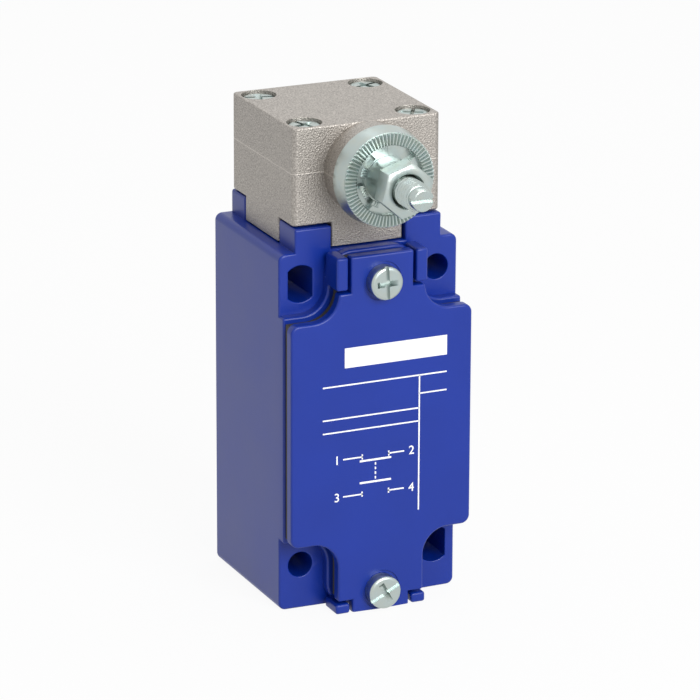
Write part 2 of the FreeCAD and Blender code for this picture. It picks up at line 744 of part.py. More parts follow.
def make_head_base():
    item = body("base_plate_body")
    block(item, "Additive", "base_plate",
          ("-head_port_half", "-head_port_front", "plate_foot"),
          ("head_port_half", "-head_port_back", "plate_top"))
    round_bar(item, "Subtractive", "stem_guide", "follower_stem + running_gap",
              "base_plate_thick + 2 * overcut", ("0", "-plunger_depth", "plate_foot - overcut"))
    keep(item, "head_base_plate")


def make_stem_seal():
    item = body("stem_seal_body")
    foot = ("0", "-plunger_depth", "housing_top - stem_seal_depth")
    height = "plate_foot - housing_top + stem_seal_depth"
    round_bar(item, "Additive", "stem_seal_disc", "stem_seal_radius", height, foot)
    round_bar(item, "Subtractive", "stem_seal_lip", "follower_stem + running_gap", height, foot)
    keep(item, "stem_seal")


# ---------------------------------------------------------------- spindle line
def make_spindle():
    item = body("spindle_body")
    round_bar(item, "Additive", "journal", "spindle_radius", "disc_floor - spindle_shoulder",
              ("0", "-spindle_shoulder", "axis_z"), FRONTWARD)
    for word, side in SIDES:
        low_x, high_x = mirrored(side, "spindle_flat_half", "spindle_radius + overcut")
        block(item, "Subtractive", "flat_" + word,
              (low_x, "-disc_floor - overcut", "axis_z - spindle_radius"),
              (high_x, "-disc_back", "axis_z + spindle_radius"))
    round_bar(item, "Subtractive", "circlip_groove_blank", "spindle_radius + overcut",
              "circlip_thick + 2 * running_gap", ("0", "-circlip_back + running_gap", "axis_z"), FRONTWARD)
    round_bar(item, "Additive", "circlip_groove_floor", "spindle_radius - circlip_groove",
              "circlip_thick + 2 * overcut", ("0", "-circlip_back + overcut", "axis_z"), FRONTWARD)
    round_bar(item, "Additive", "tail", "spindle_tail_radius",
              "spindle_shoulder - spindle_tail_end + overcut",
              ("0", "-spindle_tail_end", "axis_z"), FRONTWARD)
    round_bar(item, "Additive", "thread_shank", "thread_radius - shank_relief",
              "nut_front - disc_floor + overcut", ("0", "-disc_floor + overcut", "axis_z"), FRONTWARD)
    round_bar(item, "Additive", "thread", "thread_radius", "thread_free",
              ("0", "-nut_front", "axis_z"), FRONTWARD)
    taper(item, "Additive", "thread_bevel_cone", "thread_radius", "point_radius", "thread_bevel",
          ("0", "-thread_end", "axis_z"), FRONTWARD)
    round_bar(item, "Additive", "point", "point_radius", "spindle_tip - thread_end",
              ("0", "-thread_end", "axis_z"), FRONTWARD)
    block(item, "Subtractive", "tip_slot",
          ("-thread_radius", "-spindle_tip - overcut", "axis_z - tip_slot_width / 2"),
          ("thread_radius", "-spindle_tip + tip_slot_depth", "axis_z + tip_slot_width / 2"))
    round_bar(item, "Subtractive", "cam_pin_hole", "cam_pin_radius + thread_gap", "2 * spindle_radius",
              ("0", "-(spindle_shoulder - cam_length / 2)", "axis_z - spindle_radius"))
    keep(item, "spindle")


def make_drive_disc():
    item = body("drive_disc_body")
    taper(item, "Additive", "disc_blank", "disc_back_radius", "disc_front_radius", "disc_thick",
          ("0", "-disc_back", "axis_z"), FRONTWARD)
    round_bar(item, "Subtractive", "disc_recess_cut", "disc_recess_radius", "disc_recess + overcut",
              ("0", "-disc_floor", "axis_z"), FRONTWARD)
    corner_x = "(sleeve_radius + clear_gap)"
    corner_z = "(disc_notch_width / 2)"
    for step in NOTCH_STEPS:
        angle = math.radians(step)
        cosine = f"{math.cos(angle):.9f}"
        sine = f"{math.sin(angle):.9f}"
        notch = item.newObject("PartDesign::SubtractiveBox", f"disc_notch_{step}")
        bind(notch, Length="disc_recess_radius - sleeve_radius - clear_gap", Width="disc_notch + overcut",
             Height="disc_notch_width")
        seat(notch, (f"{corner_x} * {cosine} + {corner_z} * {sine}", "-disc_floor - overcut",
                     f"axis_z + {corner_x} * {sine} - {corner_z} * {cosine}"),
             FreeCAD.Rotation(Y_AXIS, -math.degrees(angle)))
    bore_x = "(spindle_flat_half + running_gap)"
    bore_z = "(spindle_radius + running_gap)"
    cut = DOC.addObject("Part::Box", "disc_bore_box")
    bind(cut, Length=f"2 * {bore_x}", Width="disc_thick + 2 * overcut", Height=f"2 * {bore_z}")
    seat(cut, (f"-{bore_x}", "-disc_front - overcut", f"axis_z - {bore_z}"))
    bar = DOC.addObject("Part::Cylinder", "disc_bore_bar")
    bind(bar, Radius=bore_z, Height="disc_thick + 2 * overcut")
    seat(bar, ("0", "-disc_back + overcut", "axis_z"), FRONTWARD)
    bore = DOC.addObject("Part::Common", "disc_bore")
    bore.Base = cut
    bore.Tool = bar
    disc = DOC.addObject("Part::Cut", "disc_cut")
    disc.Base = item
    disc.Tool = bore
    keep(disc, "drive_disc")


def make_nut():
    item = DOC.addObject("Part::Prism", "nut_prism")
    item.Polygon = 6
    bind(item, Circumradius="nut_across_flats / sqrt(3)", Height="nut_thick")
    seat(item, ("0", "-nut_back", "axis_z"), FRONTWARD * FreeCAD.Rotation(Z_AXIS, number("nut_turn")))
    cone = DOC.addObject("Part::Cone", "nut_chamfer")
    bind(cone, Radius1="nut_face_radius + 2 * nut_thick", Radius2="nut_face_radius", Height="nut_thick")
    seat(cone, ("0", "-nut_back", "axis_z"), FRONTWARD)
    blank = DOC.addObject("Part::Common", "nut_blank")
    blank.Base = item
    blank.Tool = cone
    bore = DOC.addObject("Part::Cylinder", "nut_bore")
    bind(bore, Radius="thread_radius + thread_gap", Height="nut_thick + 2 * overcut")
    seat(bore, ("0", "-nut_back + overcut", "axis_z"), FRONTWARD)
    mouth = DOC.addObject("Part::Cone", "nut_mouth")
    bind(mouth, Radius1="thread_radius + thread_gap", Radius2="nut_mouth_radius", Height="nut_mouth_depth")
    seat(mouth, ("0", "-nut_front + nut_mouth_depth", "axis_z"), FRONTWARD)
    tools = DOC.addObject("Part::MultiFuse", "nut_tools")
    tools.Shapes = [bore, mouth]
    nut = DOC.addObject("Part::Cut", "nut_cut")
    nut.Base = blank
    nut.Tool = tools
    keep(nut, "hex_nut")


def make_spindle_rings():
    ring("spindle_bush", "bush_radius", "spindle_radius + running_gap", "head_well_front",
         "seal_back - head_well_front", "axis_z")
    ring("spindle_seal", "seal_radius", "spindle_radius + running_gap", "seal_back",
         "seal_length - thread_gap", "axis_z")
    ring("tail_bush", "tail_bush_radius", "spindle_tail_radius + running_gap", "tail_bush_start",
         "tail_bush_end - tail_bush_start", "axis_z")
    ring("spacer_sleeve", "sleeve_radius", "thread_radius + thread_gap", "disc_floor", "sleeve_length",
         "axis_z")
    clip = ring("spindle_circlip", "circlip_radius", "spindle_radius - circlip_groove + thread_gap",
                "circlip_back", "circlip_thick", "axis_z")
    block(clip, "Subtractive", "circlip_mouth",
          ("-circlip_mouth_half", "-circlip_front - overcut", "axis_z - circlip_radius - overcut"),
          ("circlip_mouth_half", "-circlip_back + overcut", "axis_z"))


def cam_outline():
    """Half the cam: a flat, then a curve whose lift is in proportion to the angle."""
    flat = number("cam_flat")
    rise = number("cam_rise")
    points = []
    for step in range(CAM_STEPS + 1):
        angle = math.radians(number("cam_end_angle")) * step / CAM_STEPS
        lift = flat + rise * angle
        x = lift * math.sin(angle) + rise * math.cos(angle)
        z = -lift * math.cos(angle) + rise * math.sin(angle)
        points.append(FreeCAD.Vector(x, 0, z))
    return points


def make_cam():
    right = cam_outline()
    left = [FreeCAD.Vector(-point.x, 0, point.z) for point in right]
    shoulders = [FreeCAD.Vector(side * number("cam_shoulder_half"), 0, number("cam_top"))
                 for word, side in SIDES]
    curves = []
    for points in (right, left):
        curve = Part.BSplineCurve()
        curve.interpolate(points)
        curves.append(curve.toShape())
    edges = [Part.makeLine(left[0], right[0]), curves[0], Part.makeLine(right[-1], shoulders[1]),
             Part.makeLine(shoulders[1], shoulders[0]), Part.makeLine(shoulders[0], left[-1]), curves[1]]
    face = Part.Face(Part.Wire(Part.__sortEdges__(edges)))
    solid = face.extrude(FreeCAD.Vector(0, number("cam_length"), 0))
    reach = 4 * number("cam_top")
    bore = Part.makeCylinder(number("spindle_tail_radius") + number("thread_gap"), reach,
                             FreeCAD.Vector(0, -1, 0), Y_AXIS)
    pin_foot = FreeCAD.Vector(0, number("cam_length") / 2, number("cam_pin_sunk") - number("cam_flat"))
    pin = Part.makeCylinder(number("cam_pin_radius") + number("thread_gap"), reach, pin_foot, Z_AXIS)
    item = DOC.addObject("Part::Feature", "cam_feature")
    item.Shape = solid.cut(bore).cut(pin)
    seat(item, ("0", "-spindle_shoulder", "axis_z"))
    keep(item, "drive_cam")


def make_cam_pin():
    item = body("cam_pin_body")
    round_bar(item, "Additive", "pin_bar", "cam_pin_radius", "cam_top + cam_flat - 2 * cam_pin_sunk",
              ("0", "-(spindle_shoulder - cam_length / 2)", "axis_z - cam_flat + cam_pin_sunk + thread_gap"))
    keep(item, "cam_pin")


def make_follower():
    item = body("follower_body")
    block(item, "Additive", "follower_plate",
          ("-follower_half_x", "-plunger_depth - follower_half_y", "follower_foot"),
          ("follower_half_x", "-plunger_depth + follower_half_y", "follower_top"))
    round_bar(item, "Additive", "follower_rod", "follower_stem", "follower_foot - stem_end + overcut",
              ("0", "-plunger_depth", "stem_end"))
    keep(item, "cam_follower")


# ---------------------------------------------------------------- contact block
def strip_boxes(level, upward, side):
    """The corners of a terminal strip: contact tongue, web and front plate."""
    tongue_x = mirrored(side, "strip_inner", "strip_outer")
    plate_x = mirrored(side, "terminal_inner", "strip_outer")
    top = f"{level} + strip_thick"
    near = "-(plunger_depth + strip_half_depth)"
    far = "-(plunger_depth - strip_half_depth)"
    front = "-(block_front + strip_thick)"
    if upward:
        plate_z = (level, f"{level} + terminal_height")
    else:
        plate_z = (f"{level} + strip_thick - terminal_height", top)
    return (
        ("tongue", (tongue_x[0], near, level), (tongue_x[1], far, top)),
        ("web", (plate_x[0], front, level), (plate_x[1], far, top)),
        ("plate", (plate_x[0], front, plate_z[0]), (plate_x[1], "-block_front", plate_z[1])),
    )


TERMINALS = (
    ("break_terminal_left", "break_strip", True, -1),
    ("break_terminal_right", "break_strip", True, 1),
    ("make_terminal_left", "make_strip", False, -1),
    ("make_terminal_right", "make_strip", False, 1),
)


def terminal_screw_place(level, upward, side):
    x = f"{side} * (terminal_inner + strip_outer) / 2"
    if upward:
        return x, f"{level} + terminal_screw_offset"
    return x, f"{level} + strip_thick - terminal_screw_offset"


def make_terminals():
    for node, level, upward, side in TERMINALS:
        item = body(node + "_body")
        for word, low, high in strip_boxes(level, upward, side):
            block(item, "Additive", f"{node}_{word}", low, high)
        tip_foot = f"{level} - tip_thick" if upward else f"{level} + strip_thick - 2 * thread_gap"
        round_bar(item, "Additive", node + "_tip", "tip_radius", "tip_thick + 2 * thread_gap",
                  (f"{side} * tip_at", "-plunger_depth", tip_foot))
        x, z = terminal_screw_place(level, upward, side)
        round_bar(item, "Subtractive", node + "_hole", "terminal_screw_radius + thread_gap",
                  "strip_thick + 2 * overcut", (x, "-block_front + overcut", z), FRONTWARD)
        keep(item, node)


def make_terminal_fixings():
    screws = []
    clamps = []
    for node, level, upward, side in TERMINALS:
        x, z = terminal_screw_place(level, upward, side)
        clamp = body(node + "_clamp")
        block(clamp, "Additive", node + "_clamp_plate",
              (f"{x} - clamp_half", "-(block_front + strip_thick + clamp_thick)", f"{z} - clamp_half"),
              (f"{x} + clamp_half", "-(block_front + strip_thick)", f"{z} + clamp_half"))
        round_bar(clamp, "Subtractive", node + "_clamp_hole", "terminal_screw_radius + thread_gap",
                  "clamp_thick + 2 * overcut", (x, "-(block_front + strip_thick) + overcut", z), FRONTWARD)
        clamps.append(clamp)
        screws.append(screw(node + "_screw", (x, "-(block_front + strip_thick + clamp_thick)", z),
                            FRONTWARD, 45 * side, "terminal_screw_head", "terminal_screw_head_height",
                            "terminal_screw_radius", "terminal_screw_length"))
    group("terminal_clamps", clamps)
    group("terminal_screws", screws)


def make_block_case():
    item = body("block_case_body")
    block(item, "Additive", "case_block",
          ("-block_half", "-block_front", "-block_bottom"), ("block_half", "-back_wall", "block_top"))
    block(item, "Subtractive", "case_bay",
          ("-block_bay_half", "-block_front - overcut", "block_bay_foot"),
          ("block_bay_half", "-block_bay_back", "block_bay_top"))
    round_bar(item, "Subtractive", "button_guide", "button_radius + running_gap", "block_wall + 2 * overcut",
              ("0", "-plunger_depth", "block_bay_top - overcut"))
    for node, level, upward, side in TERMINALS:
        for word, low, high in strip_boxes(level, upward, side)[:2]:
            block(item, "Subtractive", f"case_{node}_{word}", low, high)
        x, z = terminal_screw_place(level, upward, side)
        depth = "-(block_front - terminal_screw_length + overcut)"
        round_bar(item, "Subtractive", f"case_{node}_well", "terminal_screw_radius + clear_gap",
                  "terminal_screw_length", (x, depth, z), FRONTWARD)
    for word, x, z in block_screw_places():
        round_bar(item, "Subtractive", "case_hole_" + word, "terminal_screw_radius + clear_gap",
                  "block_front + 2 * overcut", (x, "1", z), FRONTWARD)
    keep(item, "contact_block_case")


def make_block_lid():
    item = body("block_lid_body")
    block(item, "Additive", "lid_plate",
          ("-block_bay_half", "-block_front", "block_bay_foot"),
          ("block_bay_half", "-(block_front - block_lid_thick)", "block_bay_top"))
    keep(item, "contact_block_lid")


def make_contact_plunger():
    item = body("contact_plunger_body")
    window = "(bridge_half_depth + 2 * thread_gap)"
    block(item, "Additive", "carrier",
          ("-carrier_half_x", "-plunger_depth - carrier_half_y", "-carrier_bottom"),
          ("carrier_half_x", "-plunger_depth + carrier_half_y", "carrier_top"))
    round_bar(item, "Additive", "button", "button_radius", "button_top - carrier_top + overcut",
              ("0", "-plunger_depth", "carrier_top - overcut"))
    block(item, "Subtractive", "bridge_window",
          ("-carrier_half_x - overcut", f"-plunger_depth - {window}", "bridge_plate_foot"),
          ("carrier_half_x + overcut", f"-plunger_depth + {window}", "window_top"))
    keep(item, "contact_plunger")


def make_contact_bridge():
    item = body("contact_bridge_body")
    block(item, "Additive", "bridge_strip",
          ("-bridge_half", "-plunger_depth - bridge_half_depth", "bridge_plate_foot"),
          ("bridge_half", "-plunger_depth + bridge_half_depth", "bridge_plate_top"))
    for word, side in SIDES:
        round_bar(item, "Additive", "bridge_tip_" + word, "tip_radius", "2 * tip_thick + strip_thick",
                  (f"{side} * tip_at", "-plunger_depth", "bridge_foot"))
    keep(item, "contact_bridge")


def make_block_screws():
    members = []
    for (word, x, z), spin in zip(block_screw_places(), (30, 120)):
        members.append(screw("block_screw_" + word, (x, "-block_front", z), FRONTWARD, spin,
                             "terminal_screw_head", "terminal_screw_head_height",
                             "terminal_screw_radius", "block_screw_length"))
    group("block_screws", members)


def make_earth_terminal():
    place = ("-earth_x", "-(back_wall + earth_washer_thick)", "-earth_z")
    keep(screw("earth_screw_body", place, FRONTWARD, 60, "earth_head", "earth_head_height",
               "terminal_screw_radius", "earth_length"), "earth_screw")
    washer = body("earth_washer_body")
    start = ("-earth_x", "-back_wall", "-earth_z")
    round_bar(washer, "Additive", "earth_washer_disc", "earth_washer_radius", "earth_washer_thick",
              start, FRONTWARD)
    round_bar(washer, "Subtractive", "earth_washer_bore", "terminal_screw_radius + thread_gap",
              "earth_washer_thick", start, FRONTWARD)
    keep(washer, "earth_washer")


def make_springs():
    coil_spring("follower_spring", "follower_coil", "follower_wire", "follower_turns", "plate_top",
                "follower_foot", "plunger_depth")
    coil_spring("plunger_spring", "plunger_coil", "plunger_wire", "plunger_turns", "block_bay_foot",
                "-carrier_bottom", "plunger_depth")
    coil_spring("bridge_spring", "bridge_coil", "bridge_wire", "bridge_turns", "bridge_plate_top",
                "window_top", "plunger_depth")


# ---------------------------------------------------------------- build, check and write
def check_document():
    """Stop unless every object is sound and every sub-part is a valid shape."""
    for item in DOC.Objects:
        if "Invalid" in item.State or "Error" in item.State:
            raise RuntimeError(f"{item.Name} failed: {item.State}")
    for node, item in NODES.items():
        shape = item.Shape
        if shape.isNull() or not shape.isValid() or not shape.Solids:
            raise RuntimeError(f"{node} has no sound shape")


def main():
    for make in (make_housing, make_cover, make_gasket, make_cover_screws, make_head, make_head_screws,
                 make_head_base, make_stem_seal, make_spindle, make_drive_disc, make_nut,
                 make_spindle_rings, make_cam, make_cam_pin, make_follower, make_block_case,
                 make_block_lid, make_terminals, make_terminal_fixings, make_contact_plunger,
                 make_contact_bridge, make_block_screws, make_earth_terminal, make_springs):
        make()
        DOC.recompute()
    check_document()
    os.makedirs("parts", exist_ok=True)
    for node, item in NODES.items():
        item.Shape.exportStep(f"parts/{node}.step")
        print(f"{node}: {len(item.Shape.Solids)} solid(s), {item.Shape.Volume:.1f} mm3")


main()
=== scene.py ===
import math

import bmesh
import bpy
from mathutils import Euler, Matrix, Vector
from mathutils.geometry import delaunay_2d_cdt


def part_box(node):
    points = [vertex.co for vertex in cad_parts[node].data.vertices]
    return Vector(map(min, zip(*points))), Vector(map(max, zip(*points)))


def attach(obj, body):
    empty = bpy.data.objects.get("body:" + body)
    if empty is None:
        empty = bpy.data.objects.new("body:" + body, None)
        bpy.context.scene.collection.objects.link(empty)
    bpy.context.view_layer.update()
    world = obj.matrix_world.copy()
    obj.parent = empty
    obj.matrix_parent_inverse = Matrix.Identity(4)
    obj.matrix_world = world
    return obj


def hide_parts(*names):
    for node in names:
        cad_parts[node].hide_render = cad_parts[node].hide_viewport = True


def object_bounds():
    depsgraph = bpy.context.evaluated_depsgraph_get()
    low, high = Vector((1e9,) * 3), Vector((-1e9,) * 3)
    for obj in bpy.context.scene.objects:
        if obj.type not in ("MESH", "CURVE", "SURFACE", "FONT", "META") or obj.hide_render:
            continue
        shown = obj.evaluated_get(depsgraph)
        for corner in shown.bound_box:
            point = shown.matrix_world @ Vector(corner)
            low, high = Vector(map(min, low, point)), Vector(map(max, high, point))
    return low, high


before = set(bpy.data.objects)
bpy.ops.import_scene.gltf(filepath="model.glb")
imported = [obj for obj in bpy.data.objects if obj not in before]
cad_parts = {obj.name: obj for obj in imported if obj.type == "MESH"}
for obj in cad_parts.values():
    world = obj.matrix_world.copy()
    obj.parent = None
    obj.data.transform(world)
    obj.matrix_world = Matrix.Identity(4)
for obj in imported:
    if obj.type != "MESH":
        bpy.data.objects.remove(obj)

# A rotary-head limit switch, dressed for rendering: enamelled body and cover, a blasted zinc head,
# plated fasteners, a serrated drive disc and a threaded spindle end. Metres, +X right, -Y front, +Z up.

bl_info = {
    "name": "Rotary Head Limit Switch",
    "version": (1, 0, 0),
    "blender": (4, 5, 0),
    "location": "View3D > Sidebar > Limit Switch",
    "description": "Builds the finished surfaces of a rotary-head limit switch on its packed frame",
    "category": "Object",
}

MM = 0.001
CAD_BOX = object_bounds()
# Faces that meet at less than this are one flat area.
FLAT = math.radians(0.6)
# Edges that turn less than this, in degrees, are part of a curve and aren't rounded.
CURVE = 38.0


def linear(code):
    """A colour written as sRGB hex, as linear RGBA."""
    channels = [int(code[place:place + 2], 16) / 255 for place in (1, 3, 5)]
    return tuple(c / 12.92 if c <= 0.04045 else ((c + 0.055) / 1.055) ** 2.4 for c in channels) + (1.0,)


# ---------------------------------------------------------------- what a user may change
def length(name, description, millimetres, highest):
    """A length property, given in millimetres."""
    return bpy.props.FloatProperty(
        name=name, description=description, default=millimetres * MM, min=0.0, max=highest * MM,
        precision=5, subtype="DISTANCE", unit="LENGTH")


def colour(name, description, code):
    """A colour property, given as sRGB hex."""
    return bpy.props.FloatVectorProperty(
        name=name, description=description, default=linear(code), size=4, min=0.0, max=1.0,
        subtype="COLOR")


class SwitchSizes(bpy.types.PropertyGroup):
    """Sizes of the details that the construction model leaves plain."""

    enamel_edge: length("Enamel edge", "Radius of the painted edges of the body", 0.5, 0.8)
    cover_edge: length("Cover edge", "Radius of the cover's front edge", 0.5, 0.9)
    casting_edge: length("Casting edge", "Radius of the head's edges", 0.35, 0.8)
    plated_edge: length("Plated edge", "Radius of the edges of nut and sleeve", 0.14, 0.3)
    tooth_depth: length("Tooth depth", "Depth of the teeth on the drive disc", 0.5, 0.6)
    inner_tooth_depth: length("Inner tooth depth", "Depth of the small teeth by the sleeve", 0.3, 0.5)
    thread_pitch: length("Thread pitch", "Pitch of the spindle thread", 1.0, 2.0)
    thread_depth: length("Thread depth", "Depth of the spindle thread", 0.42, 0.6)
    slot_width: length("Slot width", "Width of the slot in a screw head", 0.8, 1.2)
    rule_width: length("Rule width", "Width of the printed rules", 0.3, 0.6)
    teeth: bpy.props.IntProperty(
        name="Teeth", description="Number of teeth round the drive disc", default=72, min=24, max=120)
    inner_teeth: bpy.props.IntProperty(
        name="Inner teeth", description="Number of small teeth by the sleeve", default=64, min=24, max=120)


class SwitchColours(bpy.types.PropertyGroup):
    """Colours of the switch's finishes."""

    enamel: colour("Enamel", "Blue stove enamel of body and cover", "#042B8E")
    casting: colour("Casting", "Blasted zinc casting of the head", "#A39E98")
    plating: colour("Plating", "Zinc plating with its pale blue passivation", "#B7BFBD")
    steel: colour("Steel", "Spring steel", "#8E8F92")
    bronze: colour("Bronze", "Sintered bearing bronze", "#A9773F")
    brass: colour("Brass", "Contact strip", "#C9A45A")
    rubber: colour("Rubber", "Nitrile rubber of gasket and seals", "#3B372C")
    black: colour("Black moulding", "Glass-filled polyamide", "#1E1F21")
    grey: colour("Grey moulding", "Polyester moulding of the contact block", "#8C8F90")
    white: colour("White moulding", "Acetal plunger", "#E3E2DB")
    print: colour("Print", "Pad-printed ink on the cover", "#F4F5F6")
    floor: colour("Floor", "Studio floor", "#E9E9E9")


def angle(name, description, degrees):
    """An angle property, given in degrees."""
    return bpy.props.FloatProperty(
        name=name, description=description, default=math.radians(degrees), subtype="ANGLE", unit="ROTATION")


def power(name, description, watts):
    """The power of a lamp."""
    return bpy.props.FloatProperty(
        name=name, description=description, default=watts, min=0.0, subtype="POWER", unit="POWER")


class SwitchStage(bpy.types.PropertyGroup):
    """Camera and lamps."""

    yaw: angle("Yaw", "How far the camera stands to the left", 24.34)
    pitch: angle("Pitch", "How far the camera looks down", 18.19)
    roll: angle("Roll", "Tilt of the camera about its own line of sight", 0.22)
    distance: bpy.props.FloatProperty(
        name="Distance", description="From the camera to the point it looks at", default=0.957,
        min=0.1, subtype="DISTANCE", unit="LENGTH")
    lens: bpy.props.FloatProperty(
        name="Lens", description="Focal length in millimetres", default=239.35, min=20.0,
        subtype="DISTANCE_CAMERA", unit="CAMERA")
    key: power("Key lamp", "Soft lamp in front and above", 10.0)
    top: power("Top lamp", "Soft lamp overhead", 2.5)
    ambient: bpy.props.FloatProperty(
        name="Ambient", description="Light from the room on matt surfaces", default=0.42, min=0.0, max=1.0)


# ---------------------------------------------------------------- materials
def add(tree, kind, inputs=None, **settings):
    """Add a node with its settings; an input is a value or another node's output."""
    node = tree.nodes.new(kind)
    for key, value in settings.items():
        setattr(node, key, value)
    for key, value in (inputs or {}).items():
        if isinstance(value, bpy.types.NodeSocket):
            tree.links.new(value, node.inputs[key])
        else:
            node.inputs[key].default_value = value
    return node


def blank_material(name):
    """An empty material, its node tree, and the object's own coordinates."""
    material = bpy.data.materials.new(name)
    material.use_nodes = True
    tree = material.node_tree
    tree.nodes.clear()
    place = add(tree, "ShaderNodeTexCoord").outputs["Object"]
    return material, tree, place


def grain_of(millimetres):
    """Pattern scale whose features are this many millimetres across."""
    return 1.0 / (millimetres * MM)


def noise(tree, place, millimetres, detail, **inputs):
    """A noise pattern with features this many millimetres across."""
    given = {"Vector": place, "Scale": grain_of(millimetres), "Detail": detail, **inputs}
    return add(tree, "ShaderNodeTexNoise", given).outputs["Fac"]


def blend(tree, factor, one, other):
    """A colour between two others."""
    return add(tree, "ShaderNodeMix", {0: factor, 6: one, 7: other}, data_type="RGBA").outputs[2]


def between(tree, value, lowest, highest, **inputs):
    """A value from 0 to 1, mapped to a new range."""
    given = {"Value": value, "To Min": lowest, "To Max": highest, **inputs}
    return add(tree, "ShaderNodeMapRange", given).outputs[0]


def surface(tree, base, roughness, height, strength, depth, **inputs):
    """The finished surface, its relief this many millimetres deep."""
    bump = add(tree, "ShaderNodeBump", {"Height": height, "Strength": strength, "Distance": depth * MM})
    shader = add(tree, "ShaderNodeBsdfPrincipled", {
        "Base Color": base, "Roughness": roughness, "Normal": bump.outputs["Normal"], **inputs})
    add(tree, "ShaderNodeOutputMaterial", {"Surface": shader.outputs[0]})


def shade(value, share):
    """A colour made darker or lighter by a share."""
    return tuple(min(1.0, channel * share) for channel in value[:3]) + (1.0,)


def stove_enamel(value):
    """Stove enamel sprayed on a zinc casting: it levels to a smooth, fairly glossy film with a faint
    orange peel, and its colour drifts a little where the film is thicker."""
    material, tree, place = blank_material("Blue stove enamel")
    drift = noise(tree, place, 14, 2.0)
    film = blend(tree, drift, shade(value, 0.9), shade(value, 1.1))
    # The peel of a real film is 1 to 2 mm across and a few micrometres high.
    peel = noise(tree, place, 1.3, 1.0)
    dust = noise(tree, place, 0.35, 1.0)
    relief = add(tree, "ShaderNodeMath", {0: peel, 1: dust}, operation="ADD")
    gloss = between(tree, drift, 0.3, 0.38)
    surface(tree, film, gloss, relief.outputs[0], 0.35, 0.012, IOR=1.45)
    return material


def blasted_zinc(value, parting):
    """Die-cast zinc, shot-blasted: a matt skin of tiny craters, their sparkle painted into the colour as
    light and dark specks, with a raised line where the two halves of the mould met, its brightness a painted
    highlight."""
    material, tree, place = blank_material("Blasted zinc casting")
    # The craters are about 0.15 mm across; they are drawn at 0.3 mm, so that they show.
    fine = noise(tree, place, 0.3, 2.0, Roughness=0.65)
    speck = add(tree, "ShaderNodeTexVoronoi", {"Vector": place, "Scale": grain_of(0.34)})
    cloud = noise(tree, place, 5, 2.0)
    # Painted sparkle: the colour is speckled between 0.62 and 1.42 times the casting colour at crater scale.
    # These are painted glints on the crater rims and painted shade in their pits; the craters' relief is in
    # the bump.
    spread = between(tree, fine, 0.0, 1.0, **{"From Min": 0.32, "From Max": 0.68})
    crater_sparkle_paint = blend(tree, spread, shade(value, 0.62), shade(value, 1.42))
    tone = blend(tree, between(tree, cloud, 0.0, 0.25), crater_sparkle_paint, shade(value, 0.8))
    parts = add(tree, "ShaderNodeSeparateXYZ", {"Vector": place})
    offset = add(tree, "ShaderNodeMath", {0: parts.outputs["Z"], 1: parting}, operation="SUBTRACT")
    off_line = add(tree, "ShaderNodeMath", {0: offset.outputs[0]}, operation="ABSOLUTE")
    line = between(tree, off_line.outputs[0], 1.0, 0.0, **{"From Min": 0.07 * MM, "From Max": 0.16 * MM})
    # Painted highlight: the parting line's colour is lightened towards 1.7 times the casting colour, as if
    # its ridge caught the light. The ridge itself is real relief in the bump.
    painted_parting_highlight = add(tree, "ShaderNodeMath", {0: line, 1: 0.5}, operation="MULTIPLY")
    base = blend(tree, painted_parting_highlight.outputs[0], tone, shade(value, 1.7))
    craters = add(tree, "ShaderNodeMath", {0: fine, 1: speck.outputs["Distance"]},
                  operation="ADD")
    ridge = add(tree, "ShaderNodeMath", {0: line, 1: 0.8}, operation="MULTIPLY")
    height = add(tree, "ShaderNodeMath", {0: craters.outputs[0], 1: ridge.outputs[0]}, operation="ADD")
    surface(tree, base, 0.5, height.outputs[0], 0.9, 0.07, Metallic=1.0)
    return material


def zinc_plate(name, value, roughness, turning):
    """Zinc-plated steel with a pale blue passivation: bright and slightly milky, with faint cloudy
    colour and the fine marks of the tool that cut it."""
    material, tree, place = blank_material(name)
    cloud = noise(tree, place, 1.8, 3.0)
    warm = (value[0] * 1.03, value[1] * 0.99, value[2] * 0.9, 1.0)
    cool = (value[0] * 0.9, value[1] * 1.0, value[2] * 1.06, 1.0)
    base = blend(tree, cloud, warm, cool)
    satin = between(tree, cloud, roughness - 0.05, roughness + 0.08)
    # Tool marks run round the part; the real ones are finer than a tenth of a millimetre.
    marks = noise(tree, place, turning, 2.0)
    surface(tree, base, satin, marks, 0.5, 0.012, Metallic=1.0)
    return material


def bare_metal(name, value, roughness, grain):
    """Bare metal strip, wire or sintered bush: even colour with slight tarnish and a fine grain."""
    material, tree, place = blank_material(name)
    tarnish = noise(tree, place, 2.2, 3.0)
    base = blend(tree, tarnish, shade(value, 0.85), shade(value, 1.12))
    satin = between(tree, tarnish, roughness, roughness + 0.12)
    pores = noise(tree, place, grain, 2.0)
    surface(tree, base, satin, pores, 0.6, 0.015, Metallic=1.0)
    return material


def moulded(name, value, ior, roughness, grain):
    """Moulded rubber or plastic: it copies the eroded grain of its mould, so it is matt with small
    soft pits, and its colour clouds slightly along the flow."""
    material, tree, place = blank_material(name)
    flow = noise(tree, place, 4, 2.0)
    base = blend(tree, flow, shade(value, 0.88), shade(value, 1.1))
    pits = noise(tree, place, grain, 2.0)
    satin = between(tree, pits, roughness - 0.06, roughness + 0.08)
    surface(tree, base, satin, pits, 0.6, 0.02, IOR=ior)
    return material


def seen_directly(tree):
    """1 for rays from the camera and for those that metal and glass mirror, else 0."""
    path = add(tree, "ShaderNodeLightPath")
    first = add(tree, "ShaderNodeMath", {0: path.outputs["Is Camera Ray"], 1: path.outputs["Is Glossy Ray"]},
                operation="MAXIMUM")
    return add(tree, "ShaderNodeMath", {0: first.outputs[0], 1: path.outputs["Is Transmission Ray"]},
               operation="MAXIMUM").outputs[0]


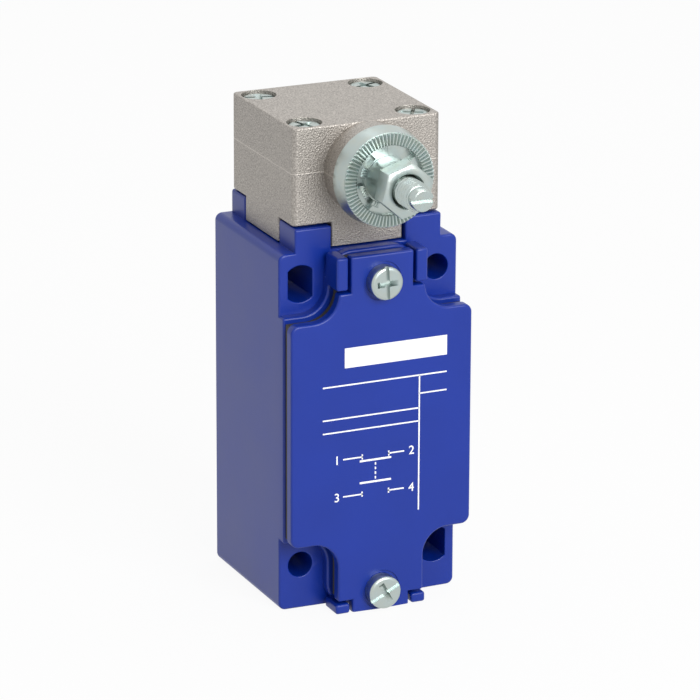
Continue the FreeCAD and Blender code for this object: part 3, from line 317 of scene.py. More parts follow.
def studio_floor(value):
    """A pale matt studio floor, which looks white and still takes the shadow."""
    material, tree, place = blank_material("Studio floor")
    texture = add(tree, "ShaderNodeTexNoise", {"Vector": place, "Scale": 40.0, "Detail": 2.0})
    paper = add(tree, "ShaderNodeMix", {
        0: texture.outputs["Fac"], 6: shade(value, 0.99), 7: shade(value, 1.01)}, data_type="RGBA")
    matt = add(tree, "ShaderNodeBsdfDiffuse", {"Color": paper.outputs[2]})
    white = add(tree, "ShaderNodeEmission", {"Color": (1.0, 1.0, 1.0, 1.0), "Strength": 1.0})
    share = add(tree, "ShaderNodeMath", {0: seen_directly(tree), 1: 0.93}, operation="MULTIPLY")
    mix = add(tree, "ShaderNodeMixShader", {0: share.outputs[0], 1: matt.outputs[0], 2: white.outputs[0]})
    add(tree, "ShaderNodeOutputMaterial", {"Surface": mix.outputs[0]})
    return material


FINISHES = {}


def finish_for(key):
    """The material of that name, made when it is first asked for."""
    if key not in FINISHES:
        tones = bpy.context.scene.switch_colours
        parting = sum(corner.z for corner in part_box("drive_disc")) / 2
        makers = {
            "blue_enamel": lambda: stove_enamel(tones.enamel),
            "die_cast_zinc": lambda: blasted_zinc(tones.casting, parting),
            "zinc_plate": lambda: zinc_plate("Zinc-plated steel", tones.plating, 0.3, 0.25),
            "turned_plate": lambda: zinc_plate("Turned and plated steel", tones.plating, 0.24, 0.15),
            "spring_steel": lambda: bare_metal("Spring steel wire", tones.steel, 0.3, 0.2),
            "bronze": lambda: bare_metal("Sintered bronze", tones.bronze, 0.45, 0.3),
            "brass_strip": lambda: bare_metal("Rolled brass strip", tones.brass, 0.32, 0.2),
            "dark_rubber": lambda: moulded("Nitrile rubber", tones.rubber, 1.52, 0.66, 0.3),
            "black_moulding": lambda: moulded("Glass-filled polyamide", tones.black, 1.53, 0.5, 0.35),
            "grey_moulding": lambda: moulded("Polyester moulding", tones.grey, 1.52, 0.48, 0.35),
            "white_moulding": lambda: moulded("Acetal moulding", tones.white, 1.48, 0.38, 0.4),
            "white_print": lambda: moulded("Pad-printed ink", tones.print, 1.5, 0.5, 0.3),
        }
        FINISHES[key] = makers[key]()
    return FINISHES[key]


# ---------------------------------------------------------------- making and placing pieces
def link(name, mesh):
    """Put a mesh in the scene as an object at the origin."""
    item = bpy.data.objects.new(name, mesh)
    bpy.context.scene.collection.objects.link(item)
    return item


def settle(item):
    """Turn an object's modifiers into plain mesh."""
    bpy.context.view_layer.update()
    shown = item.evaluated_get(bpy.context.evaluated_depsgraph_get())
    mesh = bpy.data.meshes.new_from_object(shown)
    mesh.name = item.name
    item.modifiers.clear()
    item.data = mesh
    return item


def plain_mesh(name, work):
    """Write a bmesh to a mesh and free it."""
    mesh = bpy.data.meshes.new(name)
    work.to_mesh(mesh)
    work.free()
    for word in ("custom_normal", "sharp_face", "sharp_edge"):
        if word in mesh.attributes:
            mesh.attributes.remove(mesh.attributes[word])
    return mesh


def finish_piece(item, body, finish, nodes, sharp=CURVE):
    """Smooth a piece, give it its material and hand it to its body."""
    mesh = item.data
    mesh.materials.clear()
    mesh.materials.append(finish_for(finish))
    mesh.polygons.foreach_set("material_index", [0] * len(mesh.polygons))
    mesh.shade_smooth()
    mesh.set_sharp_from_angle(angle=math.radians(sharp))
    weighted = item.modifiers.new("Even faces", "WEIGHTED_NORMAL")
    weighted.keep_sharp = True
    settle(item)
    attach(item, body)
    if nodes:
        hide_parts(*nodes)


def joined_copy(node):
    """A CAD piece's surface as a bmesh, its loose triangles merged and its flat faces made whole."""
    work = bmesh.new()
    work.from_mesh(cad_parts[node].data)
    bmesh.ops.remove_doubles(work, verts=work.verts, dist=0.002 * MM)
    bmesh.ops.dissolve_limit(work, angle_limit=FLAT, verts=work.verts, edges=work.edges)
    return work


def number_flats(work):
    """Give the faces of each flat area one number, kept in a face layer; returns each area's normal."""
    area = work.faces.layers.int.get("flat area") or work.faces.layers.int.new("flat area")
    normals = {}
    for face in work.faces:
        face[area] = 0
        face.material_index = 0
    for seed in work.faces:
        if seed[area]:
            continue
        number = len(normals) + 1
        normals[number] = seed.normal.copy()
        seed[area] = number
        waiting = [seed]
        while waiting:
            for edge in waiting.pop().edges:
                if edge.calc_face_angle(1.0) > FLAT:
                    continue
                for face in edge.link_faces:
                    if not face[area]:
                        face[area] = number
                        waiting.append(face)
    return area, normals


def within(point, sides):
    """True when a line from the point to the right crosses an odd number of the sides."""
    crossed = 0
    for one, other in sides:
        if (one.y > point.y) != (other.y > point.y):
            reach = one.x + (point.y - one.y) * (other.x - one.x) / (other.y - one.y)
            crossed += reach > point.x
    return crossed % 2 == 1


def refill_flats(work, area, normals):
    """Fill each flat area afresh with triangles, inside its outline and round its holes."""
    groups = {}
    for face in work.faces:
        if face.material_index == 0:
            groups.setdefault(face[area], []).append(face)
    for number, faces in groups.items():
        if len(faces) == 1 and len(faces[0].verts) < 5:
            continue
        inside = set(faces)
        outline = [edge for edge in {edge for face in faces for edge in face.edges}
                   if sum(face in inside for face in edge.link_faces) == 1]
        corners = list({vert for edge in outline for vert in edge.verts})
        place = {vert: index for index, vert in enumerate(corners)}
        turn = normals[number].rotation_difference(Vector((0, 0, 1)))
        flat = [(turn @ vert.co).to_2d() / MM for vert in corners]
        lines = [(place[edge.verts[0]], place[edge.verts[1]]) for edge in outline]
        points, unused, triangles, source = delaunay_2d_cdt(flat, lines, [], 1, 0.00001)[:4]
        if len(points) != len(flat):
            continue
        sides = [(flat[one], flat[other]) for one, other in lines]
        bmesh.ops.delete(work, geom=faces, context="FACES")
        for triangle in triangles:
            if within(sum((points[index] for index in triangle), Vector((0, 0))) / 3, sides):
                work.faces.new([corners[source[index][0]] for index in triangle])


def round_edges(work, width, wanted, segments=3):
    """Round the sharp edges whose middle passes a test."""
    picked = []
    for edge in work.edges:
        if not edge.is_convex or edge.calc_face_angle(0.0) < math.radians(CURVE):
            continue
        if wanted((edge.verts[0].co + edge.verts[1].co) / 2, edge):
            picked.append(edge)
    area, normals = number_flats(work)
    bmesh.ops.bevel(work, geom=picked, offset=width, offset_type="OFFSET", segments=segments, profile=0.5,
                    affect="EDGES", clamp_overlap=False, loop_slide=False, material=1)
    bmesh.ops.remove_doubles(work, verts=work.verts, dist=0.001 * MM)
    refill_flats(work, area, normals)
    bmesh.ops.recalc_face_normals(work, faces=work.faces)


def rings(work, levels, around, at):
    """Skin a closed stack of rings; a level is a height and a radius, or a radius for each angle."""
    stack = []
    for height, radius in levels:
        ring = []
        for step in range(around):
            angle = 2 * math.pi * step / around
            size = radius(angle) if callable(radius) else radius
            ring.append(work.verts.new(at(size, angle, height)))
        stack.append(ring)
    for lower, upper in zip(stack, stack[1:]):
        for step in range(around):
            after = (step + 1) % around
            work.faces.new((lower[step], lower[after], upper[after], upper[step]))
    work.faces.new(list(reversed(stack[0])))
    work.faces.new(stack[-1])
    bmesh.ops.recalc_face_normals(work, faces=work.faces)


def box_into(work, low, high):
    """Add a closed box between two corners."""
    made = bmesh.ops.create_cube(work, size=1.0)["verts"]
    middle = (Vector(low) + Vector(high)) / 2
    span = Vector(high) - Vector(low)
    for vert in made:
        vert.co = middle + Vector(side * size for side, size in zip(vert.co, span))
    return made


def carve(name, solid, tool):
    """Cut one closed bmesh out of another and return the result."""
    item = link(name, plain_mesh(name, solid))
    cutter = link(name + "_cutter", plain_mesh(name + "_cutter", tool))
    cut = item.modifiers.new("Cut", "BOOLEAN")
    cut.operation = "DIFFERENCE"
    cut.solver = "EXACT"
    cut.object = cutter
    settle(item)
    work = bmesh.new()
    work.from_mesh(item.data)
    bpy.data.objects.remove(cutter)
    bpy.data.objects.remove(item)
    return work


def node_tree(name, inputs):
    """An empty geometry tree with named inputs: a name and a socket type each."""
    tree = bpy.data.node_groups.new(name, "GeometryNodeTree")
    tree.interface.new_socket("Geometry", in_out="INPUT", socket_type="NodeSocketGeometry")
    for word, kind in inputs:
        tree.interface.new_socket(word, in_out="INPUT", socket_type=kind)
    tree.interface.new_socket("Geometry", in_out="OUTPUT", socket_type="NodeSocketGeometry")
    return tree, add(tree, "NodeGroupInput"), add(tree, "NodeGroupOutput")


def grow(item, tree, values):
    """Run a geometry tree on an object and keep the result as plain mesh."""
    modifier = item.modifiers.new(tree.name, "NODES")
    modifier.node_group = tree
    for socket in tree.interface.items_tree:
        if socket.in_out == "INPUT" and socket.name in values:
            modifier[socket.identifier] = values[socket.name]
    return settle(item)


# ---------------------------------------------------------------- enamelled body and cover
def head_screw_middles():
    """The middles of the four head screws, seen from above."""
    low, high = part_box("head_screws")
    radius = 3.45 * MM
    return [Vector((x, y)) for x in (low.x + radius, high.x - radius)
            for y in (low.y + radius, high.y - radius)]


def by_a_head_screw(middle, reach):
    """True within a reach of one of the head screws, seen from above."""
    return min((middle.to_2d() - screw).length for screw in head_screw_middles()) < reach


def outside_the_chamber(middle):
    """False for edges of the chamber, the channels and the threaded holes, which stay as cut."""
    x, y, z = abs(middle.x) / MM, middle.y / MM, middle.z / MM
    if x < 17.3 and -35.7 < y < -2.9 and -21.4 < z < 20.8:
        return False
    if x < 10.0 and -27.0 < y < -5.8 and (z < -20.0 and z > -30.2 or 19.0 < z < 33.2):
        return False
    if x < 6.4 and -23.5 < y < -10.5 and z > 32.0:
        return False
    if x < 2.2 and y < -10.0 and (abs(z - 30.8) < 2.2 or abs(z + 35.3) < 2.2):
        return False
    if -3.2 < y < -1.0 and x < 17.0:
        return False
    return not by_a_head_screw(middle, 2.2 * MM)


def near_a_fixing_hole(middle):
    """True for the rims of the four fixing holes, which lie on a 30 by 60 mm pattern."""
    across, up, reach = 15 * MM, 30 * MM, 4.2 * MM
    return math.hypot(abs(middle.x) - across, abs(middle.z) - up) < reach


class SWITCH_OT_housing(bpy.types.Operator):
    """Die-cast body with its ears, lugs and posts, enamelled blue"""

    bl_idname = "limit_switch.housing"
    bl_label = "Body"

    def execute(self, context):
        sizes = context.scene.switch_sizes
        work = joined_copy("body_housing")
        round_edges(work, sizes.enamel_edge,
                    lambda middle, edge: outside_the_chamber(middle) and not near_a_fixing_hole(middle))
        round_edges(work, sizes.enamel_edge * 0.5, lambda middle, edge: near_a_fixing_hole(middle))
        item = link("enamelled_body", plain_mesh("enamelled_body", work))
        finish_piece(item, "housing", "blue_enamel", ["body_housing"])
        return {"FINISHED"}


class SWITCH_OT_cover(bpy.types.Operator):
    """Enamelled cover with its rounded front edge and the shallow dishes under its screws"""

    bl_idname = "limit_switch.cover"
    bl_label = "Cover"

    def execute(self, context):
        sizes = context.scene.switch_sizes
        low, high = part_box("cover")
        front, back, foot = low.y, high.y, low.z

        def round_a_screw(middle):
            heights = [corner.z for corner in screw_middles()]
            return min(math.hypot(middle.x, middle.z - height) for height in heights) < 4.15 * MM

        work = joined_copy("cover")
        round_edges(work, sizes.cover_edge,
                    lambda middle, edge: (middle.y < back - 0.1 * MM and middle.z > foot + 0.05 * MM
                                          and not round_a_screw(middle)), 4)
        round_edges(work, 0.12 * MM,
                    lambda middle, edge: round_a_screw(middle) and middle.y < front + 0.05 * MM, 2)
        item = link("enamelled_cover", plain_mesh("enamelled_cover", work))
        finish_piece(item, "housing", "blue_enamel", ["cover"])
        return {"FINISHED"}


def screw_middles():
    """The middles of the two cover screw heads."""
    low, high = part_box("cover_screws")
    radius = 3.5 * MM
    return [Vector((0, low.y, low.z + radius)), Vector((0, low.y, high.z - radius))]


def printed_rules(width):
    """Blank banner, table rules and a contact diagram: low and high corners in x and z, millimetres."""
    half = width / MM / 2
    flat = [(-13.1, 14.4, 9.8), (-13.1, 8.3, 2.8), (-13.1, 8.3, 0.0), (8.3, 14.4, 5.9)]
    marks = [(-8.3, 13.4, 14.4, 17.6)]
    marks += [(start, level - half, end, level + half) for start, end, level in flat]
    marks += [(8.3 - half, -19.2, 8.3 + half, 9.8)]
    for level, bar in ((-6.0, -6.9), (-14.0, -11.6)):
        marks += [(-8.6, level - half, -4.2, level + half), (1.4, level - half, 5.0, level + half)]
        marks += [(-4.9, bar - half * 1.4, 2.1, bar + half * 1.4)]
        marks += [(-4.2 - 2 * half, level - 0.55, -4.2, level + 0.55)]
        marks += [(1.4, level - 0.55, 1.4 + 2 * half, level + 0.55)]
    for step in range(4):
        top = -7.5 - step * 1.0
        marks += [(-1.4 - half, top - 0.55, -1.4 + half, top)]
    return marks


class SWITCH_OT_print(bpy.types.Operator):
    """White print on the cover: a blank banner, plain rules and a numbered contact diagram"""

    bl_idname = "limit_switch.print"
    bl_label = "Print"

    def execute(self, context):
        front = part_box("cover")[0].y
        ink = 0.02 * MM
        work = bmesh.new()
        for left, foot, right, top in printed_rules(context.scene.switch_sizes.rule_width):
            box_into(work, (left * MM, front - ink, foot * MM), (right * MM, front + ink, top * MM))
        for word, x, z in (("1", -10.6, -6.9), ("2", 6.0, -6.9), ("3", -10.6, -14.9), ("4", 6.0, -14.9)):
            curve = bpy.data.curves.new("terminal_" + word, "FONT")
            curve.body = word
            curve.size = 2.6 * MM
            curve.offset = 0.02 * MM
            curve.extrude = ink
            text = link("terminal_" + word, curve)
            bpy.context.view_layer.update()
            mesh = bpy.data.meshes.new_from_object(text.evaluated_get(context.evaluated_depsgraph_get()))
            mesh.transform(Matrix.Translation((x * MM, front, z * MM)) @ Matrix.Rotation(math.pi / 2, 4, "X"))
            work.from_mesh(mesh)
            bpy.data.objects.remove(text)
        bmesh.ops.remove_doubles(work, verts=work.verts, dist=0.001 * MM)
        bmesh.ops.recalc_face_normals(work, faces=work.faces)
        item = link("cover_print", plain_mesh("cover_print", work))
        finish_piece(item, "housing", "white_print", [])
        return {"FINISHED"}


# ---------------------------------------------------------------- screws
def pan_head_screw(radius, top, shank, reach, slot_width):
    """One plated screw, seat at z 0: a pan head with a cross recess and one long slot."""
    outline = [
        (-reach, shank * 0.6), (-reach + 0.8 * MM, shank), (-0.01 * MM, shank),
        (0.0, radius - 0.12 * MM), (0.12 * MM, radius),
        (top - 0.55 * MM, radius), (top - 0.36 * MM, radius - 0.05 * MM),
        (top - 0.18 * MM, radius - 0.2 * MM), (top - 0.06 * MM, radius - 0.42 * MM),
        (top, radius - 0.75 * MM),
    ]
    solid = bmesh.new()
    rings(solid, outline, 48, lambda size, angle, z: (size * math.cos(angle), size * math.sin(angle), z))
    tool = bmesh.new()
    box_into(tool, (-slot_width / 2, -radius - 1 * MM, top - 0.75 * MM),
             (slot_width / 2, radius + 1 * MM, top + 1 * MM))
    work = carve("screw_slot", solid, tool)
    for turn in (0, 1):
        tool = bmesh.new()
        bar = box_into(tool, (-1, -1, -1), (1, 1, 1))
        for vert in bar:
            high = vert.co.z > 0
            reach_out = (0.66 if high else 0.3) * radius
            half = (0.62 if high else 0.4) * MM
            flat = (math.copysign(reach_out, vert.co.x), math.copysign(half, vert.co.y))
            vert.co = (flat[turn], flat[1 - turn], top + (0.05 if high else -1.5) * MM)
        work = carve("screw_cross", work, tool)
    bmesh.ops.remove_doubles(work, verts=work.verts, dist=0.002 * MM)
    return plain_mesh("pan_head_screw", work)


def screws_tree():
    """Puts one screw on every point, turned as the point says."""
    tree, given, result = node_tree("screws on their places", [
        ("Screw", "NodeSocketObject"), ("Material", "NodeSocketMaterial")])
    screw = add(tree, "GeometryNodeObjectInfo", {"Object": given.outputs["Screw"]},
                transform_space="ORIGINAL")
    turn = add(tree, "GeometryNodeInputNamedAttribute", {"Name": "turn"}, data_type="FLOAT_VECTOR")
    spin = add(tree, "FunctionNodeEulerToRotation", {"Euler": turn.outputs["Attribute"]})
    placed = add(tree, "GeometryNodeInstanceOnPoints", {
        "Points": given.outputs["Geometry"], "Instance": screw.outputs["Geometry"],
        "Rotation": spin.outputs["Rotation"]})
    real = add(tree, "GeometryNodeRealizeInstances", {"Geometry": placed.outputs["Instances"]})
    dressed = add(tree, "GeometryNodeSetMaterial", {
        "Geometry": real.outputs["Geometry"], "Material": given.outputs["Material"]})
    tree.links.new(dressed.outputs["Geometry"], result.inputs["Geometry"])
    return tree


def set_screws(name, node, screw_mesh, places):
    """Put screws at places: a point and a turn each."""
    points = bpy.data.meshes.new(name)
    points.from_pydata([place for place, turn in places], [], [])
    turns = points.attributes.new("turn", "FLOAT_VECTOR", "POINT")
    turns.data.foreach_set("vector", [angle for place, turn in places for angle in turn])
    item = link(name, points)
    sample = link(name + "_sample", screw_mesh)
    grow(item, screws_tree(), {"Screw": sample, "Material": finish_for("zinc_plate")})
    bpy.data.objects.remove(sample)
    finish_piece(item, "housing", "zinc_plate", [node], 30.0)


class SWITCH_OT_screws(bpy.types.Operator):
    """The two cover screws and the four head screws"""

    bl_idname = "limit_switch.screws"
    bl_label = "Screws"

    def execute(self, context):
        slot_width = context.scene.switch_sizes.slot_width
        low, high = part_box("cover_screws")
        seat = low.y + 2.8 * MM
        mesh = pan_head_screw(3.5 * MM, 2.8 * MM, 1.95 * MM, high.y - seat, slot_width)
        facing = Matrix.Rotation(math.pi / 2, 3, "X")
        places = []
        for middle, spin in zip(screw_middles(), (-62, 2)):
            turn = (facing @ Matrix.Rotation(math.radians(spin), 3, "Z")).to_euler()
            places.append(((middle.x, seat, middle.z), turn))
        set_screws("plated_cover_screws", "cover_screws", mesh, places)
        low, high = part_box("head_screws")
        seat = high.z - 2.6 * MM
        mesh = pan_head_screw(3.45 * MM, 2.6 * MM, 1.95 * MM, seat - low.z, slot_width)
        places = []
        for middle, spin in zip(head_screw_middles(), (20, 75, 150, 110)):
            turn = Euler((0, 0, math.radians(spin)))
            places.append(((middle.x, middle.y, seat), turn))
        set_screws("plated_head_screws", "head_screws", mesh, places)
        return {"FINISHED"}


# ---------------------------------------------------------------- head
class SWITCH_OT_head(bpy.types.Operator):
    """Blasted zinc head with its boss, its corner cut-outs and its screw wells"""

    bl_idname = "limit_switch.head"
    bl_label = "Head"

    def execute(self, context):
        sizes = context.scene.switch_sizes
        low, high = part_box("head_housing")
        front = low.y + 5.9 * MM
        near = 0.15 * MM
        crown = 3.4 * MM

        def on_the_skin(middle, edge):
            x, y, z = abs(middle.x), middle.y, middle.z
            if by_a_head_screw(middle, 2.3 * MM) or z < low.z + 0.05 * MM:
                return False
            if x < crown and z > high.z - near and abs(y - front) < near:
                return False
            if x < 9.7 * MM and z < low.z + 0.3 * MM and -25 * MM < y < -9 * MM:
                return False
            if y < front - near:
                return math.hypot(x, z - (low.z + 15.7 * MM)) > 8.5 * MM
            outer = x > high.x - near or y > high.y - near or y < front + near
            return outer or z > high.z - near or z < low.z + 5.4 * MM and x > 7.5 * MM

        def in_a_well(middle):
            return middle.z > high.z - near and by_a_head_screw(middle, 3.65 * MM)

        work = joined_copy("head_housing")
        # The boss rises to the level of the top, so the front edge is left sharp over its crown.
        for edge in list(work.edges):
            one, other = sorted((vert.co for vert in edge.verts), key=lambda place: place.x)
            on_line = max(abs(place.y - front) + abs(place.z - high.z) for place in (one, other)) < near
            for x in (-crown, crown):
                if on_line and one.x < x < other.x:
                    share = abs(x - edge.verts[0].co.x) / (other.x - one.x)
                    bmesh.utils.edge_split(edge, edge.verts[0], share)
                    break
        round_edges(work, sizes.casting_edge,
                    lambda middle, edge: on_the_skin(middle, edge) and not in_a_well(middle))
        round_edges(work, 0.12 * MM, lambda middle, edge: in_a_well(middle), 2)
        item = link("cast_head", plain_mesh("cast_head", work))
        finish_piece(item, "housing", "die_cast_zinc", ["head_housing"])
        return {"FINISHED"}


# ---------------------------------------------------------------- spindle line
def spindle_axis():
    """Where the spindle's axis crosses the plane y 0."""
    low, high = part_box("drive_disc")
    return Vector((0, 0, (low.z + high.z) / 2))


def teeth_tree():
    """Repeats one tooth round an axis along Y, and leaves it out where a notch comes."""
    tree, given, result = node_tree("ring of teeth", [
        ("Teeth", "NodeSocketInt"), ("Centre", "NodeSocketVector"), ("Notches", "NodeSocketInt"),
        ("Notch share", "NodeSocketFloat"), ("First share", "NodeSocketFloat"),
        ("Last share", "NodeSocketFloat"), ("Material", "NodeSocketMaterial")])
    points = add(tree, "GeometryNodePoints", {
        "Count": given.outputs["Teeth"], "Position": given.outputs["Centre"]})
    index = add(tree, "GeometryNodeInputIndex")
    share = add(tree, "ShaderNodeMath", {0: index.outputs[0], 1: given.outputs["Teeth"]}, operation="DIVIDE")
    angle = add(tree, "ShaderNodeMath", {0: share.outputs[0], 1: 2 * math.pi}, operation="MULTIPLY")
    euler = add(tree, "ShaderNodeCombineXYZ", {"Y": angle.outputs[0]})
    spin = add(tree, "FunctionNodeEulerToRotation", {"Euler": euler.outputs[0]})
    lobes = add(tree, "ShaderNodeMath", {0: share.outputs[0], 1: given.outputs["Notches"]},
                operation="MULTIPLY")
    away = add(tree, "ShaderNodeMath", {0: lobes.outputs[0], 1: 0.5}, operation="PINGPONG")
    free, begun, ended = [
        add(tree, "FunctionNodeCompare", {0: value.outputs[0], 1: given.outputs[limit]},
            data_type="FLOAT", operation=operation)
        for value, operation, limit in (
            (away, "GREATER_EQUAL", "Notch share"), (share, "GREATER_EQUAL", "First share"),
            (share, "LESS_EQUAL", "Last share"))]
    in_arc = add(tree, "FunctionNodeBooleanMath", {0: begun.outputs[0], 1: ended.outputs[0]}, operation="AND")
    chosen = add(tree, "FunctionNodeBooleanMath", {0: in_arc.outputs[0], 1: free.outputs[0]}, operation="AND")
    placed = add(tree, "GeometryNodeInstanceOnPoints", {
        "Points": points.outputs[0], "Selection": chosen.outputs[0],
        "Instance": given.outputs["Geometry"], "Rotation": spin.outputs["Rotation"]})
    real = add(tree, "GeometryNodeRealizeInstances", {"Geometry": placed.outputs["Instances"]})
    dressed = add(tree, "GeometryNodeSetMaterial", {
        "Geometry": real.outputs["Geometry"], "Material": given.outputs["Material"]})
    tree.links.new(dressed.outputs["Geometry"], result.inputs["Geometry"])
    return tree


def one_tooth(name, inner, outer, crest, root, foot, count, flat_share):
    """A radial tooth with sloping flanks, closed, lying along +X; crest, root and foot are y levels."""
    work = bmesh.new()
    half = math.pi / count
    stations = []
    for radius, end in ((inner, 0.55), (inner + 0.14 * MM, 0.0), (outer - 0.22 * MM, 0.0), (outer, 0.5)):
        top = crest + (root - crest) * end
        row = []
        for level, share in ((foot, -1.0), (root, -1.0), (top, -flat_share), (top, flat_share),
                             (root, 1.0), (foot, 1.0)):
            angle = half * share
            row.append(work.verts.new((radius * math.cos(angle), level, radius * math.sin(angle))))
        stations.append(row)
    for one, other in zip(stations, stations[1:]):
        for step in range(6):
            after = (step + 1) % 6
            work.faces.new((one[step], one[after], other[after], other[step]))
    work.faces.new(stations[0])
    work.faces.new(stations[-1])
    bmesh.ops.recalc_face_normals(work, faces=work.faces)
    return link(name, plain_mesh(name, work))


class SWITCH_OT_disc(bpy.types.Operator):
    """Serrated drive disc: notched blank, a ring of teeth and small teeth by the sleeve"""

    bl_idname = "limit_switch.disc"
    bl_label = "Drive disc"

    def execute(self, context):
        sizes = context.scene.switch_sizes
        axis = spindle_axis()
        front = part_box("drive_disc")[0].y
        depth = sizes.tooth_depth
        floor = front + 1.2 * MM
        work = joined_copy("drive_disc")
        for vert in work.verts:
            out = math.hypot(vert.co.x, vert.co.z - axis.z)
            if vert.co.y < front + 0.01 * MM and out > 7.0 * MM:
                vert.co.y += depth
                if out > 8.5 * MM:
                    vert.co.x *= 1.006
                    vert.co.z = axis.z + (vert.co.z - axis.z) * 1.006
        round_edges(work, 0.1 * MM, lambda middle, edge: middle.y > front + 3 * MM, 2)
        item = link("serrated_disc", plain_mesh("serrated_disc", work))
        tree = teeth_tree()
        finish = finish_for("zinc_plate")
        ring = one_tooth("disc_teeth", 7.17 * MM, 9.72 * MM, front, front + depth * 0.92,
                         front + depth + 0.05 * MM, sizes.teeth, 0.3)
        grow(ring, tree, {"Teeth": sizes.teeth, "Centre": axis, "Notches": 1, "Notch share": 0.0,
                          "First share": 0.0, "Last share": 1.0, "Material": finish})
        crest = floor - sizes.inner_tooth_depth
        small = one_tooth("sleeve_teeth", 4.95 * MM, 6.1 * MM, crest, floor - 0.02 * MM,
                          floor + 0.1 * MM, sizes.inner_teeth, 0.2)
        grow(small, tree, {"Teeth": sizes.inner_teeth, "Centre": axis, "Notches": 8, "Notch share": 0.2,
                           "First share": 0.3, "Last share": 0.58, "Material": finish})
        whole = bmesh.new()
        # A short raised line on the floor marks the middle of the spindle's travel.
        box_into(whole, (-0.07 * MM, floor - 0.08 * MM, axis.z + 5.2 * MM),
                 (0.07 * MM, floor + 0.05 * MM, axis.z + 6.9 * MM))
        for part in (item, ring, small):
            whole.from_mesh(part.data)
        for part in (ring, small):
            bpy.data.objects.remove(part)
        item.data = plain_mesh("serrated_disc", whole)
        finish_piece(item, "spindle", "zinc_plate", ["drive_disc"], 25.0)
        return {"FINISHED"}


class SWITCH_OT_nut(bpy.types.Operator):
    """Chamfered hexagon nut and the sleeve it bears on"""

    bl_idname = "limit_switch.nut"
    bl_label = "Nut and sleeve"

    def execute(self, context):
        width = context.scene.switch_sizes.plated_edge
        for node, name, share in (("hex_nut", "plated_nut", 0.5), ("spacer_sleeve", "plated_sleeve", 1.5)):
            work = joined_copy(node)
            round_edges(work, width * share, lambda middle, edge: True, 2)
            item = link(name, plain_mesh(name, work))
            finish_piece(item, "spindle", "zinc_plate", [node], 28.0)
        return {"FINISHED"}


def threaded_end(axis, start, thread_end, tip, pitch, depth):
    """Thread, bevelled run-out and slotted dog point, closed; the levels are distances to the front."""
    full = 3.0 * MM
    point = 2.33 * MM

    def ridge(level):
        def radius(angle):
            phase = (level / pitch - angle / (2 * math.pi)) % 1.0
            slope = min(1.0, max(0.0, (abs(phase - 0.5) * 2 - 0.14) / 0.7))
            limit = full - max(0.0, level - (thread_end - 0.5 * MM)) * 1.15
            return max(point + 0.02 * MM, min(full - depth * slope, limit))
        return radius

    steps = int((thread_end - start) / pitch * 12)
    heights = [start + (thread_end - start) * step / steps for step in range(steps + 1)]
    levels = [(height, ridge(height)) for height in heights]
    levels += [(thread_end + 0.02 * MM, point), (tip - 0.34 * MM, point), (tip - 0.14 * MM, point - 0.1 * MM),
               (tip - 0.03 * MM, point - 0.25 * MM), (tip, point - 0.42 * MM)]
    solid = bmesh.new()
    rings(solid, levels, 72, lambda size, angle, level: (
        axis.x + size * math.cos(angle), -level, axis.z + size * math.sin(angle)))
    tool = bmesh.new()
    box_into(tool, (axis.x - 4 * MM, -tip - 1 * MM, axis.z - 0.45 * MM),
             (axis.x + 4 * MM, -tip + 1 * MM, axis.z + 0.45 * MM))
    return carve("threaded_end", solid, tool)


class SWITCH_OT_spindle(bpy.types.Operator):
    """Spindle with its rolled thread and slotted point"""

    bl_idname = "limit_switch.spindle"
    bl_label = "Spindle"

    def execute(self, context):
        sizes = context.scene.switch_sizes
        axis = spindle_axis()
        tip = -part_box("spindle")[0].y
        join = -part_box("hex_nut")[0].y - 3.0 * MM
        work = joined_copy("spindle")
        bmesh.ops.bisect_plane(work, geom=work.verts[:] + work.edges[:] + work.faces[:],
                               plane_co=(0, -join, 0), plane_no=(0, -1, 0), clear_outer=True)
        rim = [edge for edge in work.edges if edge.is_boundary]
        bmesh.ops.edgeloop_fill(work, edges=rim)
        bmesh.ops.recalc_face_normals(work, faces=work.faces)
        end = threaded_end(axis, join - 0.1 * MM, tip - 2.3 * MM, tip, sizes.thread_pitch,
                           sizes.thread_depth)
        mesh = plain_mesh("spindle_end", end)
        work.from_mesh(mesh)
        item = link("threaded_spindle", plain_mesh("threaded_spindle", work))
        finish_piece(item, "spindle", "turned_plate", ["spindle"], 32.0)
        return {"FINISHED"}


# ---------------------------------------------------------------- everything kept from the frame
KEPT_NODES = {
    "dark_rubber": ["cover_gasket", "stem_seal", "spindle_seal"],
    "bronze": ["spindle_bush", "tail_bush"],
    "spring_steel": ["spindle_circlip", "follower_spring", "plunger_spring", "bridge_spring"],
    "turned_plate": ["drive_cam", "cam_pin", "cam_follower", "spindle"],
    "zinc_plate": ["head_base_plate", "terminal_clamps", "terminal_screws", "block_screws", "earth_screw",
                   "earth_washer", "drive_disc", "hex_nut", "spacer_sleeve", "cover_screws", "head_screws"],
    "brass_strip": ["break_terminal_left", "break_terminal_right", "make_terminal_left",
                    "make_terminal_right", "contact_bridge"],
    "grey_moulding": ["contact_block_case"],
    "black_moulding": ["contact_block_lid"],
    "white_moulding": ["contact_plunger"],
    "blue_enamel": ["body_housing", "cover"],
    "die_cast_zinc": ["head_housing"],
}


class SWITCH_OT_inner(bpy.types.Operator):
    """Finishes for the gasket, seals, bushes, springs and the contact block"""

    bl_idname = "limit_switch.inner"
    bl_label = "Inner pieces"

    def execute(self, context):
        left = set(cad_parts)
        for finish, nodes in KEPT_NODES.items():
            for node in nodes:
                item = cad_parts[node]
                if not item.material_slots:
                    item.data.materials.append(None)
                for slot in item.material_slots:
                    slot.material = finish_for(finish)
                left.discard(node)
        if left:
            raise RuntimeError("no finish for " + ", ".join(sorted(left)))
        return {"FINISHED"}


